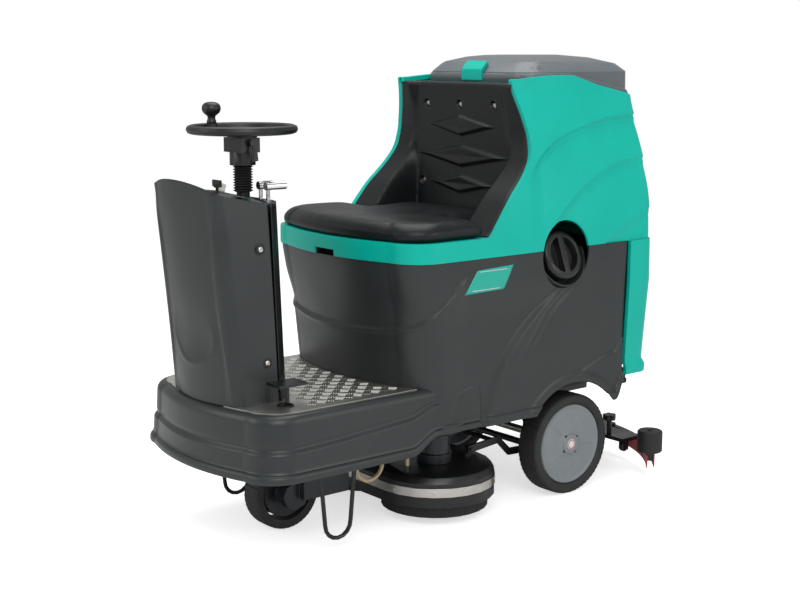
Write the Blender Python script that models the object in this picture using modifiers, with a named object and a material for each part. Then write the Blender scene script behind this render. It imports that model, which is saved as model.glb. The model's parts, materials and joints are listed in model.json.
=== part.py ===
"""Ride-on floor scrubber: a battery machine with a driver's seat, two disc brushes and a rear squeegee.

The front faces -Y, +X is the driver's left, and z = 0 is the floor.  Every size is in metres.
"""
import math

import bmesh
import bpy
from mathutils import Matrix, Vector

for old_object in list(bpy.data.objects):
    bpy.data.objects.remove(old_object, do_unlink=True)

# Fits
GAP = 0.0003            # clearance between pieces that touch or turn in each other
WALL = 0.008            # wall of the rotationally moulded shells

# Base moulding: the foot platform and the seat pedestal
LIP_BOTTOM = 0.240
PLATFORM_TOP = 0.412
PLATFORM_SKIN = 0.012
PLATFORM_HALF = 0.314
PLATFORM_FRONT = -0.772
LIP_FLARE = 0.018
HALF = 0.342            # half width of the body at the seat
PEDESTAL_FRONT = -0.275
PEDESTAL_LEAN = 0.049   # how far the pedestal's front edge leans out at its top
PEDESTAL_BOW = 0.078    # how far the front falls back towards its corners
PEDESTAL_CORNER = 0.100
PEDESTAL_BOTTOM = 0.270
PEDESTAL_TOP = 0.765
PANEL_REAR = 0.560
PLATE_THICKNESS = 0.0037

# Recovery tank, seat and lid
BAND_TOP = 0.820
TANK_TOP = 1.246
TANK_TOP_HALF = 0.252
TANK_REAR = 0.682
LEG_BOTTOM = 0.350
SEAT_HALF = 0.280
SEAT_TOP = 0.868
BACK_FRONT = 0.170
BACK_REAR = 0.213
LID_FRONT = 0.232
LID_HALF = 0.232
LID_HEIGHT = 0.072
LID_SLOPE_START = 0.40
LID_SLOPE = 0.20

# Wheels
REAR_AXLE_Y = 0.375
REAR_RADIUS = 0.1545
REAR_DISC_RADIUS = 0.1216
REAR_OUTER_X = 0.300
REAR_WIDTH = 0.078
AXLE_RADIUS = 0.012
ARCH_CLEARANCE = 0.050
DRIVE_Y = -0.481
DRIVE_RADIUS = 0.107
DRIVE_WIDTH = 0.070

# Chassis frame
RAIL_BOTTOM = 0.285
RAIL_TOP = 0.315
RAIL_IN = 0.150
RAIL_OUT = 0.190
FRAME_FRONT = -0.700
FRAME_REAR = 0.550

# Steering column and controls
COLUMN_Y = -0.589
COLUMN_HALF = 0.166
COLUMN_FRONT = -0.757
COLUMN_LEAN = 0.053
COLUMN_REAR = -0.603
COLUMN_TOP = 1.003
CONSOLE_SLOPE = 0.300
CONSOLE_THICKNESS = 0.008
REAR_PANEL_BULGE = 0.0825
TUBE_RADIUS = 0.018
SHAFT_RADIUS = 0.010
STEERING_RADIUS = 0.137
STEERING_Z = 1.125
GRIP_RADIUS = 0.012
BIG_SPROCKET = 0.054
SMALL_SPROCKET = 0.018
CHAIN_Z = 0.250
CHAIN_HEIGHT = 0.012
CHAIN_THICKNESS = 0.006
PEDAL_X = 0.215
PEDAL_Y = -0.602
PEDAL_PIVOT_Z = 0.345
PEDAL_PAD_Z = 0.470
LEVER_X = (0.050, 0.085)
LEVER_Y = -0.566

# Filler
FILLER_Y = 0.294
FILLER_Z = 0.749
FILLER_X = HALF - 0.006
FILLER_TILT = math.radians(20)
CAP_RADIUS = 0.0725
RECESS_RADIUS = 0.094
NECK_RADIUS = 0.052

# Brush deck
DECK_Y = -0.050
BRUSH_X = 0.159
DECK_RADIUS = 0.176
BRUSH_RADIUS = DECK_RADIUS - 0.019  # room between the bristles and the deck's skirt
BRUSH_BOTTOM = 0.026
DECK_TOP = 0.150
DECK_BOTTOM = 0.060
DECK_SKIN = 0.008
DECK_ARM_X = 0.195
DECK_ARM_THICKNESS = 0.008
DECK_PIN = (0.054, 0.175)
ARM_PIVOT = (0.320, 0.136)
MOTOR_RADIUS = 0.045
BAND_LOW = 0.092
BAND_HIGH = 0.118

# Squeegee
SQUEEGEE_BACK = 0.8100
SQUEEGEE_SAG = 0.170
SQUEEGEE_HALF = 0.400
BLADE_BOTTOM = 0.057
BLADE_THICKNESS = 0.004
BEAM_DEPTH = 0.018
ROLLER_RADIUS = 0.039
ROLLER_HEIGHT = 0.068
LIFT_PIVOT = (0.420, 0.210)
LEVEL_PIVOT = (0.620, 0.130)

# Tank hinge at the bottom of the rear leg
TANK_HINGE = (0.660, 0.337)

# Solution hose: an S of two half circles between the valve and the deck
HOSE_RADIUS = 0.0055
HOSE_X = 0.200
HOSE_START = (-0.365, 0.2395)
HOSE_BEND = 0.045
HOSE_BEND_Z = 0.197

CORNER_STEPS = 4        # facets in each rounded corner of a body outline

parts = bpy.data.collections.new("ride_on_scrubber")
tools = bpy.data.collections.new("cutters")
bpy.context.scene.collection.children.link(parts)
bpy.context.scene.collection.children.link(tools)


# ---------------------------------------------------------------- helpers

def paint(name, colour, roughness, metallic=0.0):
    """A Principled material; colour is linear RGB."""
    material = bpy.data.materials.new(name)
    material.use_nodes = True
    shader = material.node_tree.nodes["Principled BSDF"]
    shader.inputs["Base Color"].default_value = (*colour, 1.0)
    shader.inputs["Roughness"].default_value = roughness
    shader.inputs["Metallic"].default_value = metallic
    return material


GREY = (0.060, 0.066, 0.068)
TEAL = (0.0, 0.48, 0.38)
BLACK = (0.012, 0.012, 0.014)
STEEL = (0.50, 0.49, 0.47)
RUBBER = (0.045, 0.045, 0.043)


def add(name, mesh, colour=None, roughness=0.5, metallic=0.0):
    """An object for a piece, or for a tool shape when it has no colour."""
    made = bpy.data.objects.new(name, mesh)
    if colour is None:
        tools.objects.link(made)
        made.hide_render = True
        made.display_type = "WIRE"
    else:
        parts.objects.link(made)
        mesh.materials.append(paint(name, colour, roughness, metallic))
    return made


def as_mesh(name, shape):
    """A mesh with the evaluated shape of a curve object, its caps welded on."""
    bpy.context.scene.collection.objects.link(shape)
    bpy.context.view_layer.update()
    evaluated = shape.evaluated_get(bpy.context.evaluated_depsgraph_get())
    mesh = bpy.data.meshes.new_from_object(evaluated)
    mesh.name = name
    work = bmesh.new()
    work.from_mesh(mesh)
    bmesh.ops.remove_doubles(work, verts=work.verts, dist=0.00001)
    bmesh.ops.transform(work, matrix=shape.matrix_world, verts=work.verts)
    work.to_mesh(mesh)
    work.free()
    bpy.data.objects.remove(shape)
    return mesh


def soften(made, width, segments=2):
    """A rounded edge, by a Bevel modifier."""
    bevel = made.modifiers.new("bevel", "BEVEL")
    bevel.width = width
    bevel.segments = segments
    bevel.limit_method = "ANGLE"
    bevel.angle_limit = math.radians(50)
    return made


def round_shading(made, angle=35):
    """Smooth shading, with edges sharper than the angle kept."""
    made.data.shade_smooth()
    made.data.set_sharp_from_angle(angle=math.radians(angle))
    return made


def combine(made, operation, others):
    """Boolean modifiers that cut the other shapes from a piece, or join them to it."""
    for other in others:
        change = made.modifiers.new(other.name, "BOOLEAN")
        change.operation = operation
        change.solver = "EXACT"
        change.object = other
    return made


def cut(made, *others):
    return combine(made, "DIFFERENCE", others)


def join(made, *others):
    return combine(made, "UNION", others)


def box(name, low, high, colour=None, roughness=0.5, metallic=0.0):
    """A box between two corners."""
    work = bmesh.new()
    size = Vector(high) - Vector(low)
    middle = (Vector(high) + Vector(low)) / 2
    bmesh.ops.create_cube(work, size=1.0, matrix=Matrix.Translation(middle) @ Matrix.Diagonal((*size, 1.0)))
    mesh = bpy.data.meshes.new(name)
    work.to_mesh(mesh)
    work.free()
    return add(name, mesh, colour, roughness, metallic)


def rod(name, start, end, radius, colour=None, roughness=0.5, metallic=0.0, segments=14, tip=None):
    """A cylinder, or a cone when its tip has another radius, between two points."""
    start = Vector(start)
    end = Vector(end)
    turn = (end - start).to_track_quat("Z", "Y").to_matrix().to_4x4()
    work = bmesh.new()
    bmesh.ops.create_cone(work, cap_ends=True, segments=segments, radius1=radius,
                          radius2=radius if tip is None else tip, depth=(end - start).length,
                          matrix=Matrix.Translation((start + end) / 2) @ turn)
    mesh = bpy.data.meshes.new(name)
    work.to_mesh(mesh)
    work.free()
    return round_shading(add(name, mesh, colour, roughness, metallic))


def turned(name, profile, place, colour=None, roughness=0.5, metallic=0.0, steps=26):
    """A turned shape: (radius, height) points, outer side running down, about the local Z of place."""
    mesh = bpy.data.meshes.new(name)
    points = [(radius, 0.0, height) for radius, height in profile]
    edges = [(index, index + 1) for index in range(len(points) - 1)]
    if min(radius for radius, height in profile) > 0:
        edges.append((len(points) - 1, 0))
    mesh.from_pydata(points, edges, [])
    made = add(name, mesh, colour, roughness, metallic)
    screw = made.modifiers.new("turn", "SCREW")
    screw.angle = math.tau
    screw.steps = steps
    screw.render_steps = steps
    screw.use_merge_vertices = True
    screw.merge_threshold = 0.00001
    screw.use_smooth_shade = True
    made.matrix_world = place
    return made


def facing(origin, axis):
    """A placement whose local Z points along axis."""
    return Matrix.Translation(Vector(origin)) @ Vector(axis).to_track_quat("Z", "Y").to_matrix().to_4x4()


def slab(name, outline, low, high, colour=None, roughness=0.5, metallic=0.0, along="Z", hole=None):
    """A flat outline made thick: (x, y) points along Z, or (y, z) points along X."""
    curve = bpy.data.curves.new(name, "CURVE")
    curve.dimensions = "2D"
    curve.fill_mode = "BOTH"
    curve.extrude = (high - low) / 2
    for loop in [outline] if hole is None else [outline, hole]:
        spline = curve.splines.new("POLY")
        spline.points.add(len(loop) - 1)
        spline.use_cyclic_u = True
        for point, place in zip(spline.points, loop):
            point.co = (place[0], place[1], 0.0, 1.0)
    shape = bpy.data.objects.new(name, curve)
    middle = (low + high) / 2
    shape.matrix_world = Matrix.Translation((0, 0, middle))
    if along == "X":
        turn = Matrix(((0, 0, 1, 0), (1, 0, 0, 0), (0, 1, 0, 0), (0, 0, 0, 1)))
        shape.matrix_world = Matrix.Translation((middle, 0, 0)) @ turn
    return add(name, as_mesh(name, shape), colour, roughness, metallic)


def pipe(name, points, radius, colour=None, roughness=0.5, metallic=0.0, resolution=3):
    """A round bar bent along points, made a mesh."""
    curve = bpy.data.curves.new(name, "CURVE")
    curve.dimensions = "3D"
    curve.bevel_depth = radius
    curve.bevel_resolution = resolution
    curve.use_fill_caps = True
    spline = curve.splines.new("POLY")
    spline.points.add(len(points) - 1)
    for point, place in zip(spline.points, points):
        point.co = (*place, 1.0)
    shape = bpy.data.objects.new(name, curve)
    return round_shading(add(name, as_mesh(name, shape), colour, roughness, metallic), 50)


def loft(name, rings, colour=None, roughness=0.5, metallic=0.0):
    """A closed skin through rings of equally many points, capped at both ends."""
    work = bmesh.new()
    layers = [[work.verts.new(point) for point in ring] for ring in rings]
    count = len(rings[0])
    for lower, upper in zip(layers, layers[1:]):
        for index in range(count):
            after = (index + 1) % count
            work.faces.new((lower[index], lower[after], upper[after], upper[index]))
    work.faces.new(list(reversed(layers[0])))
    work.faces.new(layers[-1])
    bmesh.ops.recalc_face_normals(work, faces=work.faces)
    mesh = bpy.data.meshes.new(name)
    work.to_mesh(mesh)
    work.free()
    return round_shading(add(name, mesh, colour, roughness, metallic), 40)


def body_ring(z, half, front, rear, bow=0.0, front_radius=0.02, rear_radius=0.02):
    """A plan outline at height z: a bowed front edge, round corners and a flat rear edge."""
    edge = half - front_radius
    side = []
    for step in range(3):
        x = edge * step / 3
        side.append((x, front + bow * (x / half) ** 2))
    corner_y = front + bow * (edge / half) ** 2 + front_radius
    for step in range(CORNER_STEPS + 1):
        angle = math.radians(-90 + 90 * step / CORNER_STEPS)
        side.append((edge + front_radius * math.cos(angle), corner_y + front_radius * math.sin(angle)))
    for step in range(CORNER_STEPS + 1):
        angle = math.radians(90 * step / CORNER_STEPS)
        side.append((half - rear_radius + rear_radius * math.cos(angle),
                     rear - rear_radius + rear_radius * math.sin(angle)))
    side.append((0.0, rear))
    other = [(-x, y) for x, y in side[-2:0:-1]]
    return [(x, y, z) for x, y in side + other]


def arc(centre, radius, start, end, steps):
    """Points on a circle, angles in degrees."""
    angles = [math.radians(start + (end - start) * step / steps) for step in range(steps + 1)]
    return [(centre[0] + radius * math.cos(angle), centre[1] + radius * math.sin(angle)) for angle in angles]


def belt_outline(big, big_radius, small, small_radius, steps=20):
    """The outline round two circles whose centres lie on one line along -Y."""
    lean = math.degrees(math.acos((big_radius - small_radius) / (big[1] - small[1])))
    return (arc(big, big_radius, -90 + lean, 270 - lean, steps)
            + arc(small, small_radius, 270 - lean, 270 + lean, steps // 2))


def obround(half, centre_y, radius, steps=11):
    """Two half circles, half apart from the middle in X, joined by straight sides."""
    return arc((half, centre_y), radius, -90, 90, steps) + arc((-half, centre_y), radius, 90, 270, steps)


def strip(points, half_width):
    """A bar of even width along (y, z) points, with square ends half a width past them."""
    first = Vector(points[0]) - (Vector(points[1]) - Vector(points[0])).normalized() * half_width
    last = Vector(points[-1]) + (Vector(points[-1]) - Vector(points[-2])).normalized() * half_width
    line = [first, *[Vector(point) for point in points[1:-1]], last]
    sides = []
    for index, point in enumerate(line):
        before = line[max(index - 1, 0)]
        after = line[min(index + 1, len(line) - 1)]
        along = (after - before).normalized()
        sides.append((point, Vector((-along.y, along.x))))
    upper = [point + across * half_width for point, across in sides]
    lower = [point - across * half_width for point, across in sides]
    return [tuple(point) for point in lower + upper[::-1]]


def cross_rod(name, centre, low, high, radius, **look):
    """A rod along X at (y, z)."""
    return rod(name, (low, *centre), (high, *centre), radius, **look)


def bore(name, start, end, radius, segments=14):
    """A cutter for a hole that clears a round piece of this radius by the gap, flats included."""
    return rod(name, start, end, (radius + GAP) / math.cos(math.pi / segments), segments=segments)


def cross_bore(name, centre, low, high, radius, segments=14):
    """A bore along X at (y, z)."""
    return bore(name, (low, *centre), (high, *centre), radius, segments)


def both_sides(build):
    """Builds a shape at +X and at -X; build takes the side's sign and its name."""
    return [build(1, "left"), build(-1, "right")]


def span(side, low, high):
    """An X range on one side, lowest value first."""
    return (low, high) if side > 0 else (-high, -low)


# ---------------------------------------------------------------- chassis frame

def frame_plate(name, low_x, high_x, outline):
    """The pair of upright plates that stand at low_x to high_x on both sides."""
    return both_sides(lambda side, word: slab(f"{name}_{word}", outline, *span(side, low_x, high_x), along="X"))


def chassis_frame():
    """Two rails, their cross members, and the brackets for axle, deck, squeegee, pedals and tank."""
    lap = 0.004
    frame = box("chassis_frame", (RAIL_IN, FRAME_FRONT, RAIL_BOTTOM), (RAIL_OUT, FRAME_REAR, RAIL_TOP),
                (0.03, 0.03, 0.032), 0.55, 0.3)
    other_rail = box("other_rail", (-RAIL_OUT, FRAME_FRONT, RAIL_BOTTOM), (-RAIL_IN, FRAME_REAR, RAIL_TOP))
    steer_plate = box("steer_plate", (-RAIL_IN - lap, COLUMN_Y - 0.05, RAIL_BOTTOM),
                      (RAIL_IN + lap, DRIVE_Y + 0.08, RAIL_TOP))
    middle = box("middle_member", (-RAIL_IN - lap, ACTUATOR_Y - 0.03, RAIL_BOTTOM),
                 (RAIL_IN + lap, ACTUATOR_Y + 0.03, RAIL_TOP))
    rear = box("rear_member", (-RAIL_IN - lap, FRAME_REAR - 0.04, RAIL_BOTTOM), (RAIL_IN + lap, FRAME_REAR, RAIL_TOP))
    join(frame, other_rail, steer_plate, middle, rear)
    hoop_plate = both_sides(lambda side, word: box(
        f"hoop_plate_{word}", (span(side, RAIL_OUT - lap, HOOP_X + 0.016)[0], HOOP_Y[0] - 0.016, RAIL_BOTTOM),
        (span(side, RAIL_OUT - lap, HOOP_X + 0.016)[1], HOOP_Y[1] + 0.016, RAIL_BOTTOM + 0.008)))
    pedal_foot = both_sides(lambda side, word: box(
        f"pedal_foot_{word}", (span(side, RAIL_OUT - lap, PEDAL_X + 0.03)[0], PEDAL_Y - 0.014, RAIL_BOTTOM),
        (span(side, RAIL_OUT - lap, PEDAL_X + 0.03)[1], PEDAL_Y + 0.014, RAIL_TOP)))
    join(frame, *hoop_plate, *pedal_foot)
    for ear in (PEDAL_X - 0.028, PEDAL_X + 0.023):
        outline = [(PEDAL_Y - 0.012, RAIL_BOTTOM + lap), (PEDAL_Y + 0.012, RAIL_BOTTOM + lap),
                   (PEDAL_Y + 0.012, PEDAL_PIVOT_Z + 0.01), (PEDAL_Y - 0.012, PEDAL_PIVOT_Z + 0.01)]
        join(frame, *frame_plate(f"pedal_ear_{ear:.3f}", ear, ear + 0.005, outline))
    axle_outline = [(ARM_PIVOT[0] - 0.022, RAIL_BOTTOM + lap), (ARM_PIVOT[0] - 0.022, ARM_PIVOT[1] - 0.02),
                    (ARM_PIVOT[0] + 0.02, ARM_PIVOT[1] - 0.02), (REAR_AXLE_Y + 0.026, REAR_RADIUS - 0.022),
                    (REAR_AXLE_Y + 0.026, RAIL_BOTTOM + lap)]
    join(frame, *frame_plate("axle_plate", AXLE_PLATE_X, AXLE_PLATE_X + 0.012, axle_outline))
    lift_outline = strip([LIFT_PIVOT, (FRAME_REAR - 0.03, RAIL_BOTTOM + 0.012)], 0.014)
    join(frame, *frame_plate("lift_ear", LIFT_EAR_X, LIFT_EAR_X + 0.008, lift_outline))
    hinge_outline = strip([(FRAME_REAR - 0.02, RAIL_BOTTOM + 0.014), TANK_HINGE], 0.009)
    join(frame, *frame_plate("tank_ear", TANK_EAR_X, TANK_EAR_X + 0.010, hinge_outline))
    posts = [box(f"post_{x:.2f}_{y:.2f}", (x - 0.012, y - 0.012, RAIL_BOTTOM + lap),
                 (x + 0.012, y + 0.012, PLATFORM_TOP - PLATFORM_SKIN - GAP))
             for x in (-POST_X, POST_X) for y in (FRAME_FRONT + 0.02, PEDESTAL_FRONT - 0.04)]
    join(frame, *posts)
    cut(frame,
        bore("kingpin_hole", (0, DRIVE_Y, 0.2), (0, DRIVE_Y, 0.4), KINGPIN_RADIUS),
        bore("shaft_hole", (0, COLUMN_Y, 0.2), (0, COLUMN_Y, 0.4), SHAFT_RADIUS),
        bore("actuator_hole", (0, ACTUATOR_Y, 0.2), (0, ACTUATOR_Y, 0.4), ACTUATOR_RADIUS),
        cross_bore("axle_hole", (REAR_AXLE_Y, REAR_RADIUS), -0.25, 0.25, AXLE_RADIUS),
        cross_bore("arm_shaft_hole", ARM_PIVOT, -0.25, 0.25, ARM_SHAFT),
        cross_bore("lift_pin_hole", LIFT_PIVOT, -0.25, 0.25, LIFT_PIN, 12),
        cross_bore("tank_pin_hole", TANK_HINGE, -0.25, 0.25, HINGE_PIN, 10),
        cross_bore("pedal_pin_hole", (PEDAL_Y, PEDAL_PIVOT_Z), -0.3, 0.3, PEDAL_PIN, 10))


HOOP_X = 0.254
HOOP_Y = (-0.526, -0.413)
HOOP_BOTTOM = 0.027
HOOP_RADIUS = 0.006
POST_X = 0.170
AXLE_PLATE_X = 0.165
LIFT_EAR_X = 0.062
TANK_EAR_X = 0.100
KINGPIN_RADIUS = 0.016
ARM_SHAFT = 0.010
LIFT_PIN = 0.006
HINGE_PIN = 0.004
PEDAL_PIN = 0.004
ACTUATOR_Y = 0.140
ACTUATOR_RADIUS = 0.020


def guard_hoop(side, word):
    """The bent rod that keeps feet and edges off the drive wheel."""
    radius = (HOOP_Y[1] - HOOP_Y[0]) / 2
    middle = (HOOP_Y[0] + HOOP_Y[1]) / 2
    bend = arc((middle, HOOP_BOTTOM + HOOP_RADIUS + radius * 0.75), radius * 0.75, 180, 360, 8)
    top = RAIL_BOTTOM - GAP
    path = [(HOOP_Y[0], top), (HOOP_Y[0], top - 0.06), *bend, (HOOP_Y[1], top - 0.06), (HOOP_Y[1], top)]
    points = [(side * HOOP_X, y, z) for y, z in path]
    pipe(f"guard_hoop_{word}", points, HOOP_RADIUS, BLACK, 0.4, 0.0, 2)


def rear_axle():
    """The fixed bar that both rear wheels turn on."""
    end = REAR_OUTER_X - 0.012
    cross_rod("rear_axle", (REAR_AXLE_Y, REAR_RADIUS), -end, end, AXLE_RADIUS, colour=STEEL, metallic=1.0)


# ---------------------------------------------------------------- wheels

def rear_wheel(side, word):
    """A solid rubber tyre on a cast disc."""
    centre = facing((side * (REAR_OUTER_X - REAR_WIDTH / 2), REAR_AXLE_Y, REAR_RADIUS), (side, 0, 0))
    half = REAR_WIDTH / 2
    inner = REAR_DISC_RADIUS + GAP
    tyre = [(inner, half - 0.006), (REAR_RADIUS - 0.016, half), (REAR_RADIUS - 0.004, half - 0.008),
            (REAR_RADIUS, half - 0.020), (REAR_RADIUS, -half + 0.020), (REAR_RADIUS - 0.004, -half + 0.008),
            (REAR_RADIUS - 0.016, -half), (inner, -half + 0.006)]
    turned(f"rear_tyre_{word}", tyre, centre, RUBBER, 0.75, steps=36)
    hole = AXLE_RADIUS + GAP
    disc = [(hole, half - 0.002), (0.030, half - 0.002), (0.034, half - 0.008), (0.106, half - 0.012),
            (REAR_DISC_RADIUS, half - 0.008), (REAR_DISC_RADIUS, -half + 0.008), (0.112, -half + 0.008),
            (0.108, half - 0.020), (0.036, half - 0.018), (0.026, -half + 0.004), (hole, -half + 0.004)]
    turned(f"rear_disc_{word}", disc, centre, (0.27, 0.30, 0.31), 0.45, steps=36)


def drive_wheel():
    """The driven front tyre and its hub with the axle stubs."""
    place = facing((0, DRIVE_Y, DRIVE_RADIUS), (1, 0, 0))
    half = DRIVE_WIDTH / 2
    rim = 0.072
    tyre = [(rim + GAP, half - 0.004), (DRIVE_RADIUS - 0.012, half), (DRIVE_RADIUS, half - 0.012),
            (DRIVE_RADIUS, -half + 0.012), (DRIVE_RADIUS - 0.012, -half), (rim + GAP, -half + 0.004)]
    turned("drive_tyre", tyre, place, RUBBER, 0.75, steps=28)
    stub = CHEEK_X + CHEEK_THICKNESS
    hub = [(0, stub), (SHAFT_RADIUS, stub), (SHAFT_RADIUS, half), (0.030, half), (0.034, half - 0.014),
           (rim, half - 0.012), (rim, -half + 0.012), (0.034, -half + 0.014), (0.030, -half),
           (SHAFT_RADIUS, -half), (SHAFT_RADIUS, -stub), (0, -stub)]
    turned("drive_hub", hub, place, (0.2, 0.2, 0.2), 0.4, 0.8, steps=28)


CHEEK_X = 0.0385
CHEEK_THICKNESS = 0.008
FORK_TOP = 0.236


def steer_fork():
    """The fork that turns the drive wheel, with its kingpin and chain sprocket."""
    outer = CHEEK_X + CHEEK_THICKNESS
    fork = box("steer_fork", (-outer, DRIVE_Y - 0.045, FORK_TOP - 0.010), (outer, DRIVE_Y + 0.045, FORK_TOP),
               BLACK, 0.45, 0.3)
    axle_z = DRIVE_RADIUS
    outline = [(DRIVE_Y - 0.040, FORK_TOP - 0.004), (DRIVE_Y - 0.034, axle_z - 0.006),
               (DRIVE_Y - 0.014, axle_z - 0.026), (DRIVE_Y + 0.014, axle_z - 0.026),
               (DRIVE_Y + 0.034, axle_z - 0.006), (DRIVE_Y + 0.040, FORK_TOP - 0.004)]
    cheeks = both_sides(lambda side, word: slab(f"cheek_{word}", outline, *span(side, CHEEK_X, outer), along="X"))
    kingpin = rod("kingpin", (0, DRIVE_Y, FORK_TOP - 0.004), (0, DRIVE_Y, RAIL_TOP + 0.016), KINGPIN_RADIUS)
    nut = rod("kingpin_nut", (0, DRIVE_Y, RAIL_TOP + GAP), (0, DRIVE_Y, RAIL_TOP + 0.014), 0.024, segments=6)
    sprocket = rod("big_sprocket", (0, DRIVE_Y, CHAIN_Z), (0, DRIVE_Y, CHAIN_Z + CHAIN_HEIGHT), BIG_SPROCKET,
                   segments=24)
    join(fork, *cheeks, kingpin, nut, sprocket)
    cut(fork, cross_bore("drive_axle_hole", (DRIVE_Y, DRIVE_RADIUS), -0.1, 0.1, SHAFT_RADIUS))


def drive_motor():
    """The traction motor and its gearbox, bolted to the fork's left cheek."""
    face = CHEEK_X + CHEEK_THICKNESS + GAP
    motor = cross_rod("drive_motor", (DRIVE_Y, DRIVE_RADIUS), face, face + 0.028, 0.042, colour=BLACK, segments=8)
    body = box("motor_body", (face, DRIVE_Y + 0.010, DRIVE_RADIUS - 0.010), (face + 0.052, DRIVE_Y + 0.165, 0.212))
    join(motor, body)


def steering_chain():
    """The chain that carries the column's turn back to the fork, one closed loop."""
    big = (0, DRIVE_Y)
    small = (0, COLUMN_Y)
    outer = belt_outline(big, BIG_SPROCKET + GAP + CHAIN_THICKNESS, small, SMALL_SPROCKET + GAP + CHAIN_THICKNESS)
    inner = belt_outline(big, BIG_SPROCKET + 2 * GAP, small, SMALL_SPROCKET + 2 * GAP)
    slab("steering_chain", outer, CHAIN_Z + 0.001, CHAIN_Z + CHAIN_HEIGHT - 0.001, STEEL, 0.4, 0.9, hole=inner)


# ---------------------------------------------------------------- base moulding

def pedestal_rings(inset, bottom, top):
    """The pedestal's outline, leaning out towards its top, drawn in by a wall."""
    rings = []
    for z, half, lean in ((PEDESTAL_BOTTOM, HALF - 0.006, 0.0), (PLATFORM_TOP, HALF - 0.020, 0.0),
                          (0.560, HALF - 0.009, 0.3), (PEDESTAL_TOP, HALF, 1.0)):
        rings.append(body_ring(min(max(z, bottom), top), half - inset, PEDESTAL_FRONT - lean * PEDESTAL_LEAN + inset,
                               PANEL_REAR + 0.005 - inset, PEDESTAL_BOW, PEDESTAL_CORNER - inset, 0.020 - inset))
    if bottom < PEDESTAL_BOTTOM:
        rings[0] = [(x, y, bottom) for x, y, z in rings[0]]
    if top > PEDESTAL_TOP:
        rings[-1] = [(x, y, top) for x, y, z in rings[-1]]
    return rings


def platform_ring(z, grow, rear):
    return body_ring(z, PLATFORM_HALF + grow, PLATFORM_FRONT - grow, rear, 0.080, 0.100, 0.010)


def lower_body():
    """The base moulding: foot platform, seat pedestal and solution tank in one hollow shell."""
    flare = LIP_FLARE
    platform_rear = PEDESTAL_FRONT + PEDESTAL_BOW + PEDESTAL_CORNER
    hollow_rear = platform_rear - WALL
    body = loft("lower_body", [platform_ring(LIP_BOTTOM, flare, platform_rear),
                               platform_ring(LIP_BOTTOM + 0.022, flare * 0.9, platform_rear),
                               platform_ring(LIP_BOTTOM + 0.036, flare * 0.3, platform_rear),
                               platform_ring(PLATFORM_TOP - 0.020, 0.0, platform_rear),
                               platform_ring(PLATFORM_TOP, -WALL, platform_rear)], GREY, 0.5)
    join(body, loft("pedestal", pedestal_rings(0.0, PEDESTAL_BOTTOM, PEDESTAL_TOP)))
    under = loft("platform_hollow", [platform_ring(LIP_BOTTOM - 0.02, flare - WALL, hollow_rear),
                                     platform_ring(LIP_BOTTOM + 0.022, flare * 0.9 - WALL, hollow_rear),
                                     platform_ring(LIP_BOTTOM + 0.045, -WALL, hollow_rear),
                                     platform_ring(PLATFORM_TOP - PLATFORM_SKIN, -WALL * 1.6, hollow_rear)])
    inside = loft("pedestal_hollow", pedestal_rings(WALL, LIP_BOTTOM - 0.03, PEDESTAL_TOP + 0.02))
    arch = cross_rod("wheel_arch", (REAR_AXLE_Y - 0.013, REAR_RADIUS), -0.5, 0.5, REAR_RADIUS + ARCH_CLEARANCE,
                     segments=32)
    tail = box("tail_notch", (-0.5, REAR_AXLE_Y + 0.115, 0.1), (0.5, PANEL_REAR + 0.1, LEG_BOTTOM - 0.015))
    cut(body, under, inside, arch, tail, *filler_recess(), *foot_openings("body", PLATFORM_TOP - 0.05))


def filler_recess():
    """The round pockets in the side that hold the filler cap."""
    axis = Vector((math.cos(FILLER_TILT), 0, math.sin(FILLER_TILT)))
    centre = Vector((FILLER_X, FILLER_Y, FILLER_Z))
    return [bore("filler_pocket", centre - axis * 0.07, centre + axis * 0.07, RECESS_RADIUS, 28)]


def foot_openings(name, low):
    """The passages through the platform for the steering shaft and the two pedals."""
    high = low + 0.2
    column = box(f"{name}_column_passage", (-0.026, COLUMN_Y - 0.026, low), (0.026, COLUMN_Y + 0.026, high))
    slots = both_sides(lambda side, word: box(
        f"{name}_pedal_slot_{word}", (side * PEDAL_X - 0.012, PEDAL_Y - 0.024, low),
        (side * PEDAL_X + 0.012, PEDAL_Y + 0.012, high)))
    return [column, *slots]


def checker_plate():
    """The aluminium tread plate between the column and the pedestal."""
    half = PLATFORM_HALF - 0.040
    front = COLUMN_REAR + GAP
    low = PLATFORM_TOP + GAP
    pedestal = pedestal_rings(-2 * GAP, PEDESTAL_BOTTOM, PEDESTAL_TOP)[1]
    rear = sorted((x, y) for x, y, z in pedestal if y < PEDESTAL_FRONT + PEDESTAL_BOW and abs(x) < half)
    outline = [(-half, front), (half, front), (half, rear[-1][1])] + rear[::-1] + [(-half, rear[0][1])]
    plate = slab("checker_plate", outline, low, low + PLATE_THICKNESS, STEEL, 0.35, 1.0)
    cut(plate, *foot_openings("plate", low - 0.02))


def filler_neck():
    """The scooped bowl below the filler cap, with the neck that leads into the tank."""
    axis = Vector((math.cos(FILLER_TILT), 0, math.sin(FILLER_TILT)))
    centre = Vector((FILLER_X, FILLER_Y, FILLER_Z))
    rim = RECESS_RADIUS - GAP
    bowl = [(rim, 0.000), (rim, -0.012), (rim - 0.012, -0.034), (NECK_RADIUS + 0.004, -0.046),
            (NECK_RADIUS, -0.052), (NECK_RADIUS, -0.100), (NECK_RADIUS - 0.004, -0.100), (NECK_RADIUS - 0.004, -0.040),
            (rim - 0.016, -0.030), (rim - 0.004, -0.010), (rim - 0.004, 0.000)]
    neck = turned("filler_neck", bowl, facing(centre - axis * 0.016, axis), GREY, 0.5, steps=26)
    cut(neck, box("neck_trim", (0.1, FILLER_Y - 0.15, PEDESTAL_TOP - 0.004), (0.5, FILLER_Y + 0.15, 1.0)))


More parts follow.
